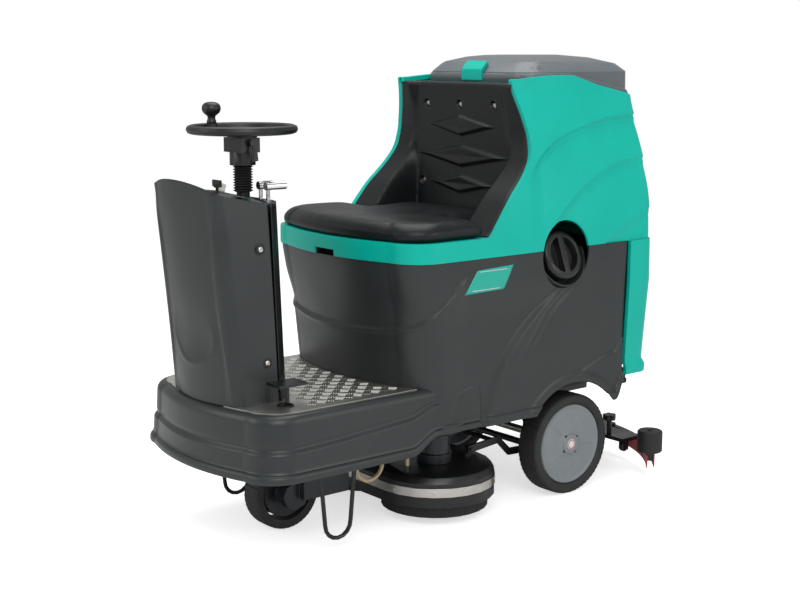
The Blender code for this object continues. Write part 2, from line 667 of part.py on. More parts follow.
def filler_cap():
    """The round cap with its D-shaped grip pocket."""
    axis = Vector((math.cos(FILLER_TILT), 0, math.sin(FILLER_TILT)))
    centre = Vector((FILLER_X, FILLER_Y, FILLER_Z))
    plug = NECK_RADIUS - 0.004 - 2 * GAP
    profile = [(0, 0.006), (CAP_RADIUS - 0.010, 0.006), (CAP_RADIUS - 0.003, 0.003), (CAP_RADIUS, -0.004),
               (CAP_RADIUS, -0.024), (plug, -0.028), (plug, -0.060), (0, -0.060)]
    cap = turned("filler_cap", profile, facing(centre - axis * 0.010, axis), BLACK, 0.5, steps=26)
    pocket = turned("grip_pocket", [(0, 0.03), (CAP_RADIUS - 0.016, 0.03), (CAP_RADIUS - 0.022, -0.020), (0, -0.020)],
                    facing(centre - axis * 0.010, axis), steps=26)
    bar = box("grip_bar", (-0.010, -CAP_RADIUS, -0.03), (0.010, CAP_RADIUS, 0.04))
    bar.matrix_world = facing(centre - axis * 0.010, axis)
    combine(pocket, "DIFFERENCE", [bar])
    cut(cap, pocket)


def battery_pack():
    """Four traction batteries strapped together on the rails."""
    low = (-0.235, ACTUATOR_Y + 0.040, RAIL_TOP + GAP)
    high = (0.235, FRAME_REAR - 0.035, 0.600)
    pack = box("battery_pack", low, high, (0.02, 0.02, 0.025), 0.5)
    middle_y = (low[1] + high[1]) / 2
    seams = [box("seam_x", (-0.002, low[1] - 0.01, high[2] - 0.2), (0.002, high[1] + 0.01, high[2] + 0.01)),
             box("seam_y", (low[0] - 0.01, middle_y - 0.002, high[2] - 0.2),
                 (high[0] + 0.01, middle_y + 0.002, high[2] + 0.01))]
    cut(pack, *seams)
    posts = [rod(f"terminal_{x:.2f}_{y:.2f}", (x, y, high[2] - 0.002), (x, y, high[2] + 0.016), 0.008, segments=12)
             for x in (-0.19, -0.05, 0.05, 0.19) for y in (middle_y - 0.05, middle_y + 0.05)]
    join(pack, *posts)


# ---------------------------------------------------------------- column and console

def console_height(y):
    """Height of the column cover's sloping top at y."""
    return COLUMN_TOP - CONSOLE_SLOPE * (y - (COLUMN_FRONT - COLUMN_LEAN))


def console_cutter(name, lift):
    """A tall prism above the sloping top, raised by lift."""
    ends = (COLUMN_FRONT - 0.2, COLUMN_REAR + 0.3)
    outline = [(ends[0], console_height(ends[0]) + lift), (ends[1], console_height(ends[1]) + lift),
               (ends[1], COLUMN_TOP + 0.5), (ends[0], COLUMN_TOP + 0.5)]
    return slab(name, outline, -0.4, 0.4, along="X")


def column_ring(z, inset, rear):
    share = (z - PLATFORM_TOP) / (COLUMN_TOP - PLATFORM_TOP)
    half = COLUMN_HALF - 0.006 * share - inset
    front = COLUMN_FRONT - COLUMN_LEAN * share ** 1.3 + inset
    return body_ring(z, half, front, rear, 0.038, 0.040 - inset, 0.002)


def column_cover():
    """The cowl in front of the steering column, open at the back and the bottom."""
    low = PLATFORM_TOP + GAP
    heights = [low + (COLUMN_TOP + 0.02 - low) * step / 6 for step in range(7)]
    wall = 0.005
    cover = loft("column_cover", [column_ring(z, 0.0, COLUMN_REAR) for z in heights], GREY, 0.5)
    heights = [PLATFORM_TOP - 0.02 + (COLUMN_TOP + 0.06 - PLATFORM_TOP) * step / 6 for step in range(7)]
    hollow = loft("column_hollow", [column_ring(max(z, low - 0.0001) if step else low, wall, COLUMN_REAR + 0.02)
                                    for step, z in enumerate(heights)])
    floor = box("column_mouth", (-COLUMN_HALF + 0.008, COLUMN_FRONT + 0.05, low - 0.01),
                (COLUMN_HALF - 0.008, COLUMN_REAR + 0.01, low + 0.01))
    cut(cover, hollow, floor, console_cutter("column_top_trim", 0.0))


def half_ellipse(half, depth, centre_y, steps=16):
    """Points of a half ellipse bulging to +Y, from +X to -X."""
    return [(half * math.cos(math.pi * step / steps), centre_y + depth * math.sin(math.pi * step / steps))
            for step in range(steps + 1)]


def column_rear_panel():
    """The black curved panel that closes the column towards the driver."""
    low = PLATFORM_TOP + PLATE_THICKNESS + 2 * GAP
    wall = 0.004
    edge = COLUMN_REAR + GAP
    outer = half_ellipse(COLUMN_HALF - 0.002, REAR_PANEL_BULGE, edge)
    inner = half_ellipse(COLUMN_HALF - 0.002 - wall, REAR_PANEL_BULGE - wall, edge)
    panel = slab("column_rear_panel", outer + inner[::-1], low, COLUMN_TOP, BLACK, 0.45)
    cut(panel, console_cutter("panel_top_trim", 0.0))


def on_console(x, y):
    """A placement on the console's top face, its local Z square to the face."""
    normal = Vector((0, CONSOLE_SLOPE, 1)).normalized()
    point = Vector((x, y, console_height(y))) + normal * (CONSOLE_THICKNESS + 2 * GAP)
    return Matrix.Translation(point) @ Matrix.Rotation(-math.atan(CONSOLE_SLOPE), 4, "X")


KEY_PLACE = (-0.100, -0.600)
WING_PLACE = (-0.050, -0.640)
LEVER_PIVOT_Z = 0.905
LEVER_EAR = 0.006


def control_panel():
    """The sloping instrument plate, with the bracket and pin that carry the hand levers."""
    front = COLUMN_FRONT - 0.020
    rear = COLUMN_REAR + 0.045
    half = COLUMN_HALF - 0.014
    low = [(y, console_height(y) + GAP) for y in (front, rear)]
    high = [(y, console_height(y) + GAP + CONSOLE_THICKNESS) for y in (rear, front)]
    panel = slab("control_panel", low + high, -half, half, (0.25, 0.27, 0.28), 0.4, along="X")
    middle = (LEVER_X[0] + LEVER_X[1]) / 2
    ear_top = console_height(LEVER_Y) + GAP + 0.003
    ear = box("lever_ear", (middle - LEVER_EAR / 2, LEVER_Y - 0.010, LEVER_PIVOT_Z - 0.010),
              (middle + LEVER_EAR / 2, LEVER_Y + 0.010, ear_top))
    pin = cross_rod("lever_pin", (LEVER_Y, LEVER_PIVOT_Z), LEVER_X[0] - 0.008, LEVER_X[1] + 0.008, 0.004)
    slots = [box(f"lever_slot_{x}", (x - 0.008, LEVER_Y - 0.026, 0.85), (x + 0.008, LEVER_Y + 0.026, 1.0))
             for x in LEVER_X]
    hole = bore("tube_hole", (0, COLUMN_Y, 0.9), (0, COLUMN_Y, 1.0), TUBE_RADIUS, 20)
    key_hole = bore("key_hole", (0, 0, -0.02), (0, 0, 0.02), 0.005, 10)
    key_hole.matrix_world = on_console(*KEY_PLACE)
    wing_hole = bore("wing_hole", (*WING_PLACE, 0.9), (*WING_PLACE, 1.0), 0.004, 10)
    join(panel, ear, pin)
    cut(panel, *slots, hole, key_hole, wing_hole)


def hand_lever(name, x):
    """A hand lever: a post on a barrel, with a grip lying towards the driver."""
    top = 0.978
    middle = (LEVER_X[0] + LEVER_X[1]) / 2
    side = 1 if x > middle else -1
    low, high = sorted((middle + side * (LEVER_EAR / 2 + GAP), x + side * 0.006))
    lever = cross_rod(name, (LEVER_Y, LEVER_PIVOT_Z), low, high, 0.009, colour=BLACK)
    post = rod(f"{name}_post", (x, LEVER_Y, LEVER_PIVOT_Z + 0.004), (x, LEVER_Y, top), 0.0055, segments=10)
    grip = rod(f"{name}_grip", (x, LEVER_Y - 0.008, top), (x, LEVER_Y + 0.055, top), 0.011)
    join(lever, post, grip)
    cut(lever, cross_bore(f"{name}_bore", (LEVER_Y, LEVER_PIVOT_Z), low - 0.01, high + 0.01, 0.004, 10))


def key_and_wing_knob():
    """The ignition key and the wing knob that clamps the column."""
    key = turned("ignition_key", [(0, 0.006), (0.009, 0.006), (0.011, 0.000), (0.005, 0.000), (0.005, -0.016),
                                  (0, -0.016)], on_console(*KEY_PLACE), STEEL, 0.3, 0.9, steps=12)
    blade = box("key_blade", (-0.002, -0.010, 0.002), (0.002, 0.010, 0.026))
    blade.matrix_world = on_console(*KEY_PLACE)
    join(key, blade)
    x, y = WING_PLACE
    top = console_height(y) + CONSOLE_THICKNESS + 0.009
    wing = rod("wing_knob", (x, y, top - 0.035), (x, y, top + 0.012), 0.004, BLACK, 0.5, segments=10)
    hub = rod("wing_hub", (x, y, top), (x, y, top + 0.010), 0.009, segments=10)
    outline = [(x - 0.020, y - 0.003), (x + 0.020, y - 0.003), (x + 0.020, y + 0.003), (x - 0.020, y + 0.003)]
    wings = slab("wing_blades", outline, top + 0.002, top + 0.020)
    join(wing, hub, wings)


COLLAR_BOTTOM = 1.030
BRACKET_BOTTOM = 1.064
BRACKET_TOP = 1.103
BELLOWS_BOTTOM = 0.958


def steering_column():
    """The fixed column tube, its rubber bellows and the bracket below the wheel."""
    foot = RAIL_TOP + GAP
    clear = SHAFT_RADIUS + GAP
    tube = [(clear, BRACKET_BOTTOM), (TUBE_RADIUS, BRACKET_BOTTOM), (TUBE_RADIUS, foot + 0.006),
            (0.025, foot + 0.006), (0.025, foot), (clear, foot)]
    turned("column_tube", tube, Matrix.Translation((0, COLUMN_Y, 0)), (0.05, 0.05, 0.05), 0.5, 0.5, steps=16)
    inner = TUBE_RADIUS + 2 * GAP
    folds = 4
    fold = (COLLAR_BOTTOM - BELLOWS_BOTTOM) / folds
    outside = []
    for index in range(folds):
        top = COLLAR_BOTTOM - GAP - index * fold
        outside += [(0.0240, top), (0.0285, top - fold * 0.35), (0.0285, top - fold * 0.65)]
    outside += [(0.0240, BELLOWS_BOTTOM)]
    turned("column_bellows", [(inner, COLLAR_BOTTOM - GAP), *outside, (inner, BELLOWS_BOTTOM)],
           Matrix.Translation((0, COLUMN_Y, 0)), BLACK, 0.7, steps=16)
    bracket = rod("wheel_bracket", (0, COLUMN_Y, COLLAR_BOTTOM), (0, COLUMN_Y, BRACKET_BOTTOM + 0.004), 0.035,
                  BLACK, 0.5)
    head = box("bracket_head", (-0.046, COLUMN_Y - 0.030, BRACKET_BOTTOM), (0.040, COLUMN_Y + 0.030, BRACKET_TOP))
    join(bracket, head)
    cut(bracket, bore("bracket_bore", (0, COLUMN_Y, 1.0), (0, COLUMN_Y, BRACKET_BOTTOM + GAP), TUBE_RADIUS, 20),
        bore("bracket_shaft_bore", (0, COLUMN_Y, 1.0), (0, COLUMN_Y, 1.2), SHAFT_RADIUS))


def direction_switch():
    """The small lever that hangs below the right of the wheel and picks forward or reverse."""
    x = 0.040 + GAP
    z = BRACKET_TOP - 0.012
    lever = cross_rod("direction_lever", (COLUMN_Y, z), x, x + 0.014, 0.010, colour=BLACK)
    stem = rod("direction_stem", (x + 0.009, COLUMN_Y, z), (x + 0.018, COLUMN_Y, z - 0.032), 0.004, segments=12)
    knob = rod("direction_knob", (x + 0.017, COLUMN_Y, z - 0.026), (x + 0.020, COLUMN_Y, z - 0.048), 0.009)
    join(lever, stem, knob)


def steering_wheel():
    """The steering wheel with its three spokes, the shaft below it and the spinner knob."""
    bpy.ops.mesh.primitive_torus_add(major_radius=STEERING_RADIUS, minor_radius=GRIP_RADIUS, major_segments=32,
                                     minor_segments=8, location=(0, COLUMN_Y, STEERING_Z))
    rim = bpy.context.object
    mesh = rim.data
    mesh.transform(rim.matrix_basis)
    bpy.data.objects.remove(rim)
    wheel = round_shading(add("steering_wheel", mesh, BLACK, 0.5), 60)
    hub_bottom = BRACKET_TOP + GAP
    hub = rod("wheel_hub", (0, COLUMN_Y, hub_bottom), (0, COLUMN_Y, STEERING_Z + 0.004), 0.040)
    spokes = []
    for index in range(3):
        angle = SPINNER_ANGLE + math.radians(120) * index
        spoke = box(f"spoke_{index}", (0.02, -0.014, -0.009), (STEERING_RADIUS, 0.014, 0.001))
        spoke.matrix_world = Matrix.Translation((0, COLUMN_Y, STEERING_Z)) @ Matrix.Rotation(angle, 4, "Z")
        spokes.append(spoke)
    x, y = spinner_place()
    boss = rod("spinner_boss", (x, y, STEERING_Z - 0.006), (x, y, STEERING_Z + 0.012), 0.016)
    join(wheel, hub, *spokes, boss)
    shaft = rod("steering_shaft", (0, COLUMN_Y, CHAIN_Z - 0.004), (0, COLUMN_Y, hub_bottom - GAP), SHAFT_RADIUS,
                STEEL, 0.3, 1.0)
    join(shaft, rod("small_sprocket", (0, COLUMN_Y, CHAIN_Z), (0, COLUMN_Y, CHAIN_Z + CHAIN_HEIGHT), SMALL_SPROCKET))
    base = STEERING_Z + 0.012 + GAP
    knob = [(0, 0.058), (0.014, 0.056), (0.024, 0.048), (0.026, 0.038), (0.022, 0.026), (0.013, 0.018),
            (0.012, 0.006), (0.009, 0.000), (0, 0.000)]
    turned("spinner_knob", knob, Matrix.Translation((x, y, base)), BLACK, 0.4, steps=20)


SPINNER_ANGLE = math.radians(196.7)
SPINNER_REACH = 0.108


def spinner_place():
    """Where the spinner knob stands, on the spoke near the rim."""
    return (SPINNER_REACH * math.cos(SPINNER_ANGLE), COLUMN_Y + SPINNER_REACH * math.sin(SPINNER_ANGLE))


def pedal(name, side):
    """A foot pedal on its barrel: a stem through the platform slot and a flat pad."""
    x = side * PEDAL_X
    barrel = cross_rod(name, (PEDAL_Y, PEDAL_PIVOT_Z), x - 0.022, x + 0.022, 0.009, colour=BLACK)
    pin = cross_rod(f"{name}_pin", (PEDAL_Y, PEDAL_PIVOT_Z), x - 0.028, x + 0.028, PEDAL_PIN, segments=10)
    stem = rod(f"{name}_stem", (x, PEDAL_Y, PEDAL_PIVOT_Z), (x, PEDAL_Y, PEDAL_PAD_Z + 0.003), 0.006, segments=10)
    pad = box(f"{name}_pad", (x - 0.032, PEDAL_Y - 0.044, PEDAL_PAD_Z), (x + 0.032, PEDAL_Y + 0.044,
                                                                       PEDAL_PAD_Z + 0.007))
    join(barrel, pin, stem, pad)


# ---------------------------------------------------------------- recovery tank, seat and lid

def tank_rings(inset, front_shift, bottom, top):
    """The tank's outline from the band up to its rim, drawn in by a wall."""
    stations = ((PEDESTAL_TOP + 2 * GAP, HALF + 0.003, -0.050, TANK_REAR - 0.004),
                (BAND_TOP, HALF + 0.003, -0.020, TANK_REAR),
                (0.915, HALF - 0.004, 0.067, TANK_REAR + 0.003),
                (1.000, HALF - 0.020, 0.190, TANK_REAR),
                (1.100, HALF - 0.044, 0.192, TANK_REAR - 0.004),
                (TANK_TOP, TANK_TOP_HALF, 0.190, TANK_REAR - 0.012))
    rings = []
    for z, half, front, rear in stations:
        height = min(max(z, bottom), top)
        rings.append(body_ring(height, half - inset, max(front, front_shift) + inset, rear - inset, 0.0,
                               0.030 - inset, 0.080 - inset))
    return rings


def tank_cutter(name, lift, upwards):
    """The prism above or below the tank's rim line, which slopes down behind LID_SLOPE_START."""
    end = TANK_REAR + 0.15
    rim = [(-0.2, TANK_TOP + lift), (LID_SLOPE_START, TANK_TOP + lift),
           (end, TANK_TOP + lift - LID_SLOPE * (end - LID_SLOPE_START))]
    far = TANK_TOP + 0.6 if upwards else TANK_TOP - 0.6
    return slab(name, rim + [(end, far), (-0.2, far)], -0.6, 0.6, along="X")


def clear_layers(rings, low, high):
    """The rings between two heights, with the first and the last moved exactly to them."""
    kept = [ring for ring in rings if low < ring[0][2] < high]
    first = [(x, y, low) for x, y, z in (kept[0] if kept else rings[0])]
    last = [(x, y, high) for x, y, z in (kept[-1] if kept else rings[-1])]
    return [first, *kept, last]


def upper_body():
    """The recovery tank: the band under the seat, the tank behind it and the leg down the rear."""
    base = PEDESTAL_TOP + GAP
    front = PEDESTAL_FRONT - PEDESTAL_LEAN
    body = loft("upper_body", clear_layers(tank_rings(0.0, -1.0, 0.0, 2.0), base, TANK_TOP + 0.03), TEAL, 0.35)
    corner = PEDESTAL_CORNER
    band = loft("band", [body_ring(base, HALF + 0.001, front - 0.002, 0.30, PEDESTAL_BOW, corner, 0.010),
                         body_ring(BAND_TOP - 0.006, HALF + 0.003, front + 0.002, 0.30, PEDESTAL_BOW, corner, 0.010),
                         body_ring(BAND_TOP, HALF - 0.003, front + 0.008, 0.30, PEDESTAL_BOW, corner, 0.010)])
    leg_front = PANEL_REAR + 0.005 + GAP
    leg = loft("rear_leg", [body_ring(LEG_BOTTOM, HALF - 0.004, leg_front, TANK_REAR - 0.004, 0.0, 0.004, 0.080),
                            body_ring(LEG_BOTTOM + 0.03, HALF - 0.012, leg_front, TANK_REAR - 0.014, 0.0, 0.004, 0.080),
                            body_ring(0.640, HALF + 0.002, leg_front, TANK_REAR, 0.0, 0.004, 0.080),
                            body_ring(base + 0.02, HALF + 0.003, leg_front, TANK_REAR - 0.004, 0.0, 0.004, 0.080)])
    barrel = cross_rod("tank_barrel", TANK_HINGE, -TANK_EAR_X + GAP, TANK_EAR_X - GAP, 0.009)
    web = box("barrel_web", (-TANK_EAR_X + 0.004, TANK_HINGE[0] - 0.006, TANK_HINGE[1]),
              (TANK_EAR_X - 0.004, TANK_HINGE[0] + 0.008, LEG_BOTTOM + 0.03))
    pin = cross_rod("tank_pin", TANK_HINGE, -TANK_EAR_X - 0.010, TANK_EAR_X + 0.010, HINGE_PIN, segments=10)
    hinge_y, hinge_z = LID_HINGE
    ears = both_sides(lambda side, word: cross_rod(f"lid_ear_{word}", LID_HINGE, *span(side, LID_EAR_X, LID_EAR_X + 0.014),
                                                   0.008, segments=12))
    ear_webs = both_sides(lambda side, word: box(
        f"lid_ear_web_{word}", (span(side, LID_EAR_X, LID_EAR_X + 0.014)[0], hinge_y - 0.040, hinge_z - 0.020),
        (span(side, LID_EAR_X, LID_EAR_X + 0.014)[1], hinge_y + 0.002, hinge_z - 0.004)))
    lid_pin = cross_rod("lid_pin", LID_HINGE, -LID_EAR_X - 0.002, LID_EAR_X + 0.002, 0.003, segments=10)
    join(body, band, leg)
    seat_space = box("seat_space", (-SEAT_HALF - GAP, -0.5, BAND_TOP), (SEAT_HALF + GAP, BACK_REAR + GAP, TANK_TOP + 0.2))
    inner = corner - 0.010
    lower_hollow = loft("band_hollow", [body_ring(base - 0.02, HALF - 0.012, front + 0.010, PANEL_REAR - 0.010,
                                                  PEDESTAL_BOW, inner, 0.010),
                                        body_ring(BAND_TOP - WALL, HALF - 0.008, front + 0.016, PANEL_REAR - 0.010,
                                                  PEDESTAL_BOW, inner, 0.010)])
    motor_room = box("motor_room", (-0.20, BACK_REAR + 0.02, base - 0.02), (0.20, 0.540, MOTOR_ROOM_TOP))
    tank_hollow = loft("tank_hollow", clear_layers(tank_rings(WALL, BACK_REAR + GAP, 0.0, 2.0), MOTOR_ROOM_TOP + WALL,
                                                   TANK_TOP + 0.05))
    leg_hollow = box("leg_hollow", (-HALF + 0.090, leg_front + WALL, LEG_BOTTOM - 0.02),
                     (HALF - 0.090, TANK_REAR - 0.028, PEDESTAL_TOP - 0.02))
    finger = box("finger_notch", (-0.045, front - 0.03, base - 0.01), (0.045, front + 0.025, base + 0.018))
    latch_notch = box("latch_notch", (-LATCH_HALF - 0.002, BACK_REAR - 0.01, TANK_TOP - 0.006),
                      (LATCH_HALF + 0.002, LID_FRONT + 0.002, TANK_TOP + 0.01))
    cut(body, seat_space, lower_hollow, motor_room, tank_hollow, leg_hollow, finger, latch_notch,
        tank_cutter("rim_trim", 0.0, True), *filler_recess())
    join(body, barrel, web, pin, *ears, *ear_webs, lid_pin)


MOTOR_ROOM_TOP = 0.930
LID_HINGE = (TANK_REAR + 0.018, TANK_TOP - 0.058)
LID_EAR_X = 0.061


def seat_cushion():
    """The cushion's plain core: wide at the front, narrow between the side bolsters."""
    low = BAND_TOP + GAP
    front = PEDESTAL_FRONT - PEDESTAL_LEAN
    rear = WING_FRONT - 0.014
    corner = PEDESTAL_CORNER - 0.010
    cushion = loft("seat_cushion", [body_ring(low, HALF - 0.016, front + 0.010, rear, PEDESTAL_BOW, corner, 0.02),
                                    body_ring(low + 0.022, HALF - 0.012, front + 0.002, rear, PEDESTAL_BOW, corner, 0.02),
                                    body_ring(SEAT_TOP, HALF - 0.040, front + 0.030, rear - 0.004, PEDESTAL_BOW,
                                              corner - 0.015, 0.02)], BLACK, 0.5)
    join(cushion, box("cushion_tail", (-WING_IN + 0.002, -0.15, low), (WING_IN - 0.002, BACK_FRONT - 0.002,
                                                                     SEAT_TOP - 0.002)))


WING_FRONT = -0.012
WING_IN = 0.200


def seat_back():
    """The seat's back shell with a bolster sweeping forward on each side."""
    low = BAND_TOP + GAP
    top = TANK_TOP - 0.008
    back = slab("seat_back", [(BACK_FRONT + 0.004, low), (BACK_REAR, low), (BACK_REAR, top), (BACK_FRONT, top),
                              (BACK_FRONT + 0.004, 1.0)], -0.225, 0.225, BLACK, 0.5, along="X")
    wing = [(WING_FRONT, low), (0.030, 0.892), (0.070, 0.933), (0.111, 0.965), (BACK_FRONT, 1.010),
            (BACK_FRONT + 0.012, 1.080), (BACK_REAR, 1.080), (BACK_REAR, low)]
    join(back, *both_sides(lambda side, word: slab(f"bolster_{word}", wing, *span(side, WING_IN, SEAT_HALF),
                                                  along="X")))


def tank_lid():
    """The domed lid over the tank, hollow below, with its hinge barrel at the rear."""
    rear = TANK_REAR + 0.006
    stations = ((0.000, 0.000, 0.000, 0.000), (0.022, 0.000, 0.000, 0.002), (0.046, 0.022, 0.020, 0.028),
                (0.064, 0.080, 0.068, 0.086), (LID_HEIGHT, 0.150, 0.130, 0.150))

    def rings(inset, start):
        made = []
        for rise, half, front, back in stations:
            height = start if rise == 0 else TANK_TOP + rise - inset
            made.append(body_ring(height, LID_HALF - half - inset, LID_FRONT + front + inset, rear - back - inset, 0.0,
                                  0.060 - inset, 0.070 - inset))
        return made

    lid = loft("tank_lid", rings(0.0, TANK_TOP - 0.08), (0.10, 0.105, 0.11), 0.4)
    cut(lid, loft("lid_hollow", rings(0.006, TANK_TOP - 0.09)), tank_cutter("lid_trim", GAP, False))
    barrel = cross_rod("lid_barrel", LID_HINGE, -LID_EAR_X + GAP, LID_EAR_X - GAP, 0.008, segments=12)
    web = box("lid_web", (-LID_EAR_X + 0.004, LID_HINGE[0] - 0.018, LID_HINGE[1] + 0.001),
              (LID_EAR_X - 0.004, LID_HINGE[0] + 0.002, LID_HINGE[1] + 0.012))
    join(lid, web, barrel)
    cut(lid, cross_bore("lid_bore", LID_HINGE, -0.1, 0.1, 0.003, 10))


LATCH_HALF = 0.045


def lid_latch():
    """The teal catch that hooks the lid down at the front."""
    y = LID_FRONT
    near = y - 2 * GAP
    outline = [(y - 0.012, TANK_TOP - 0.004), (near, TANK_TOP - 0.004), (near, TANK_TOP + 0.022),
               (y + 0.0185, TANK_TOP + 0.0465), (y + 0.012, TANK_TOP + 0.056), (y - 0.012, TANK_TOP + 0.030)]
    latch = slab("lid_latch", outline, -LATCH_HALF, LATCH_HALF, TEAL, 0.35, along="X")
    return latch


def vacuum_motor():
    """The suction fan and its motor, hung in the room below the tank's floor."""
    top = MOTOR_ROOM_TOP - GAP
    profile = [(0, top), (0.060, top), (0.060, top - 0.012), (0.072, top - 0.014), (0.072, top - 0.060),
               (0.050, top - 0.064), (0.050, top - 0.130), (0.040, top - 0.138), (0, top - 0.138)]
    turned("vacuum_motor", profile, Matrix.Translation((0, 0.380, 0)), (0.2, 0.2, 0.22), 0.4, 0.6, steps=26)


def drain_outlet():
    """The capped drain hose end below the tank's rear left corner."""
    x = 0.262
    y = TANK_REAR - 0.062
    top = LEG_BOTTOM - GAP
    profile = [(0, top), (0.024, top), (0.024, top - 0.010), (0.019, top - 0.012), (0.019, top - 0.030),
               (0.023, top - 0.032), (0.023, top - 0.044), (0, top - 0.044)]
    turned("drain_outlet", profile, Matrix.Translation((x, y, 0)), BLACK, 0.5, steps=16)


# ---------------------------------------------------------------- brush deck

def deck_cover():
    """The brush housing: two round covers joined by straight sides, with a rubber skirt's rim."""
    def ring(z, radius):
        return [(x, y, z) for x, y in obround(BRUSH_X, DECK_Y, radius)]

    cover = loft("deck_cover", [ring(DECK_BOTTOM, DECK_RADIUS), ring(DECK_TOP - 0.020, DECK_RADIUS),
                                ring(DECK_TOP - 0.004, DECK_RADIUS - 0.010), ring(DECK_TOP, DECK_RADIUS - 0.020)],
                 BLACK, 0.5)
    hollow = loft("deck_hollow", [ring(DECK_BOTTOM - 0.02, DECK_RADIUS - 0.006),
                                  ring(DECK_TOP - 0.024, DECK_RADIUS - 0.006),
                                  ring(DECK_TOP - DECK_SKIN, DECK_RADIUS - 0.022)])
    lug_y, lug_z = DECK_PIN
    lugs = both_sides(lambda side, word: slab(
        f"deck_lug_{word}", [(lug_y - 0.014, DECK_TOP - 0.004), (lug_y + 0.014, DECK_TOP - 0.004),
                             (lug_y + 0.012, lug_z + 0.010), (lug_y - 0.012, lug_z + 0.010)],
        *span(side, DECK_ARM_X - 0.012, DECK_ARM_X - GAP), along="X"))
    fitting = rod("hose_fitting", (HOSE_X, hose_end_y(), DECK_TOP - 0.004), (HOSE_X, hose_end_y(), HOSE_END_Z - GAP), 0.010)
    cut(cover, hollow, *[rod(f"brush_shaft_hole_{side}", (side * BRUSH_X, DECK_Y, 0.1), (side * BRUSH_X, DECK_Y, 0.2),
                             0.014) for side in (-1, 1)])
    join(cover, *lugs, fitting)
    cut(cover, cross_bore("deck_pin_hole", DECK_PIN, -0.25, 0.25, DECK_PIN_RADIUS, 12))
    outer = obround(BRUSH_X, DECK_Y, DECK_RADIUS + GAP + 0.002)
    inner = obround(BRUSH_X, DECK_Y, DECK_RADIUS + GAP)
    slab("deck_band", outer, BAND_LOW, BAND_HIGH, STEEL, 0.3, 1.0, hole=inner)


DECK_PIN_RADIUS = 0.006
HOSE_END_Z = 0.1683


def hose_end_y():
    return HOSE_START[0] + 4 * HOSE_BEND


def brush(side, word):
    """A disc brush: a moulded back with its drive shaft, and the ring of bristles."""
    back = DECK_TOP - DECK_SKIN - 0.016
    profile = [(0, DECK_TOP - GAP), (0.012, DECK_TOP - GAP), (0.012, back), (0.060, back), (0.064, back - 0.010),
               (BRUSH_RADIUS - 0.012, back - 0.014), (BRUSH_RADIUS - 0.010, back - 0.034),
               (BRUSH_RADIUS, BRUSH_BOTTOM), (0.070, BRUSH_BOTTOM), (0.076, back - 0.034), (0, back - 0.034)]
    turned(f"brush_{word}", profile, Matrix.Translation((side * BRUSH_X, DECK_Y, 0)), (0.02, 0.02, 0.02), 0.8, steps=26)


def brush_motor(side, word):
    """The geared motor that stands over each brush."""
    low = DECK_TOP + GAP
    profile = [(0, low + 0.090), (MOTOR_RADIUS - 0.006, low + 0.090), (MOTOR_RADIUS, low + 0.082),
               (MOTOR_RADIUS, low + 0.030), (MOTOR_RADIUS + 0.006, low + 0.028), (MOTOR_RADIUS + 0.006, low), (0, low)]
    turned(f"brush_motor_{word}", profile, Matrix.Translation((side * BRUSH_X, DECK_Y, 0)), BLACK, 0.45, steps=26)


def deck_arms():
    """The two cranked arms that carry the deck, on one cross shaft."""
    arms_path = [DECK_PIN, (0.163, 0.185), (0.208, 0.140), ARM_PIVOT]
    outline = strip(arms_path, 0.011)
    arms = slab("deck_arms", outline, DECK_ARM_X, DECK_ARM_X + DECK_ARM_THICKNESS, BLACK, 0.45, 0.4, along="X")
    other = slab("other_arm", outline, -DECK_ARM_X - DECK_ARM_THICKNESS, -DECK_ARM_X, along="X")
    end = DECK_ARM_X + 0.004
    shaft = cross_rod("arm_shaft", ARM_PIVOT, -end, end, ARM_SHAFT)
    tie = cross_rod("arm_tie", TIE_BAR, -end, end, 0.007)
    pins = both_sides(lambda side, word: cross_rod(
        f"deck_pin_{word}", DECK_PIN, *span(side, DECK_ARM_X - 0.018, DECK_ARM_X + 0.014), DECK_PIN_RADIUS, segments=12))
    join(arms, other, shaft, tie, *pins)


TIE_BAR = (0.150, 0.1835)


def deck_actuator():
    """The electric ram that lowers and lifts the deck; its foot bears on the arms' tie bar."""
    foot = TIE_BAR[1] + 0.007 + GAP
    profile = [(0, 0.460), (ACTUATOR_RADIUS, 0.460), (ACTUATOR_RADIUS, RAIL_TOP + 0.012),
               (0.028, RAIL_TOP + 0.012), (0.028, RAIL_TOP + GAP), (ACTUATOR_RADIUS, RAIL_TOP + GAP),
               (ACTUATOR_RADIUS, RAIL_BOTTOM - 0.03), (0.008, RAIL_BOTTOM - 0.034), (0.008, foot), (0, foot)]
    turned("deck_actuator", profile, Matrix.Translation((0, ACTUATOR_Y, 0)), (0.1, 0.1, 0.1), 0.4, 0.6, steps=24)


def solution_supply():
    """The valve below the left rail and the hose that feeds the brushes from it."""
    y = HOSE_START[0]
    valve = box("solution_valve", (HOSE_X - 0.030, y - 0.022, HOSE_START[1] + GAP),
                (HOSE_X + 0.016, y + 0.022, RAIL_BOTTOM - GAP), (0.3, 0.3, 0.3), 0.5)
    soften(valve, 0.003)
    path = [HOSE_START]
    path += [(y, HOSE_START[1] + (HOSE_BEND_Z - HOSE_START[1]) * 0.5)]
    path += arc((y + HOSE_BEND, HOSE_BEND_Z), HOSE_BEND, 180, 360, 10)
    path += arc((y + 3 * HOSE_BEND, HOSE_BEND_Z), HOSE_BEND, 180, 0, 10)[1:]
    path += [(hose_end_y(), HOSE_END_Z)]
    pipe("solution_hose", [(HOSE_X, *point) for point in path], HOSE_RADIUS, (0.55, 0.45, 0.32), 0.4, 0.0, 2)


# ---------------------------------------------------------------- squeegee

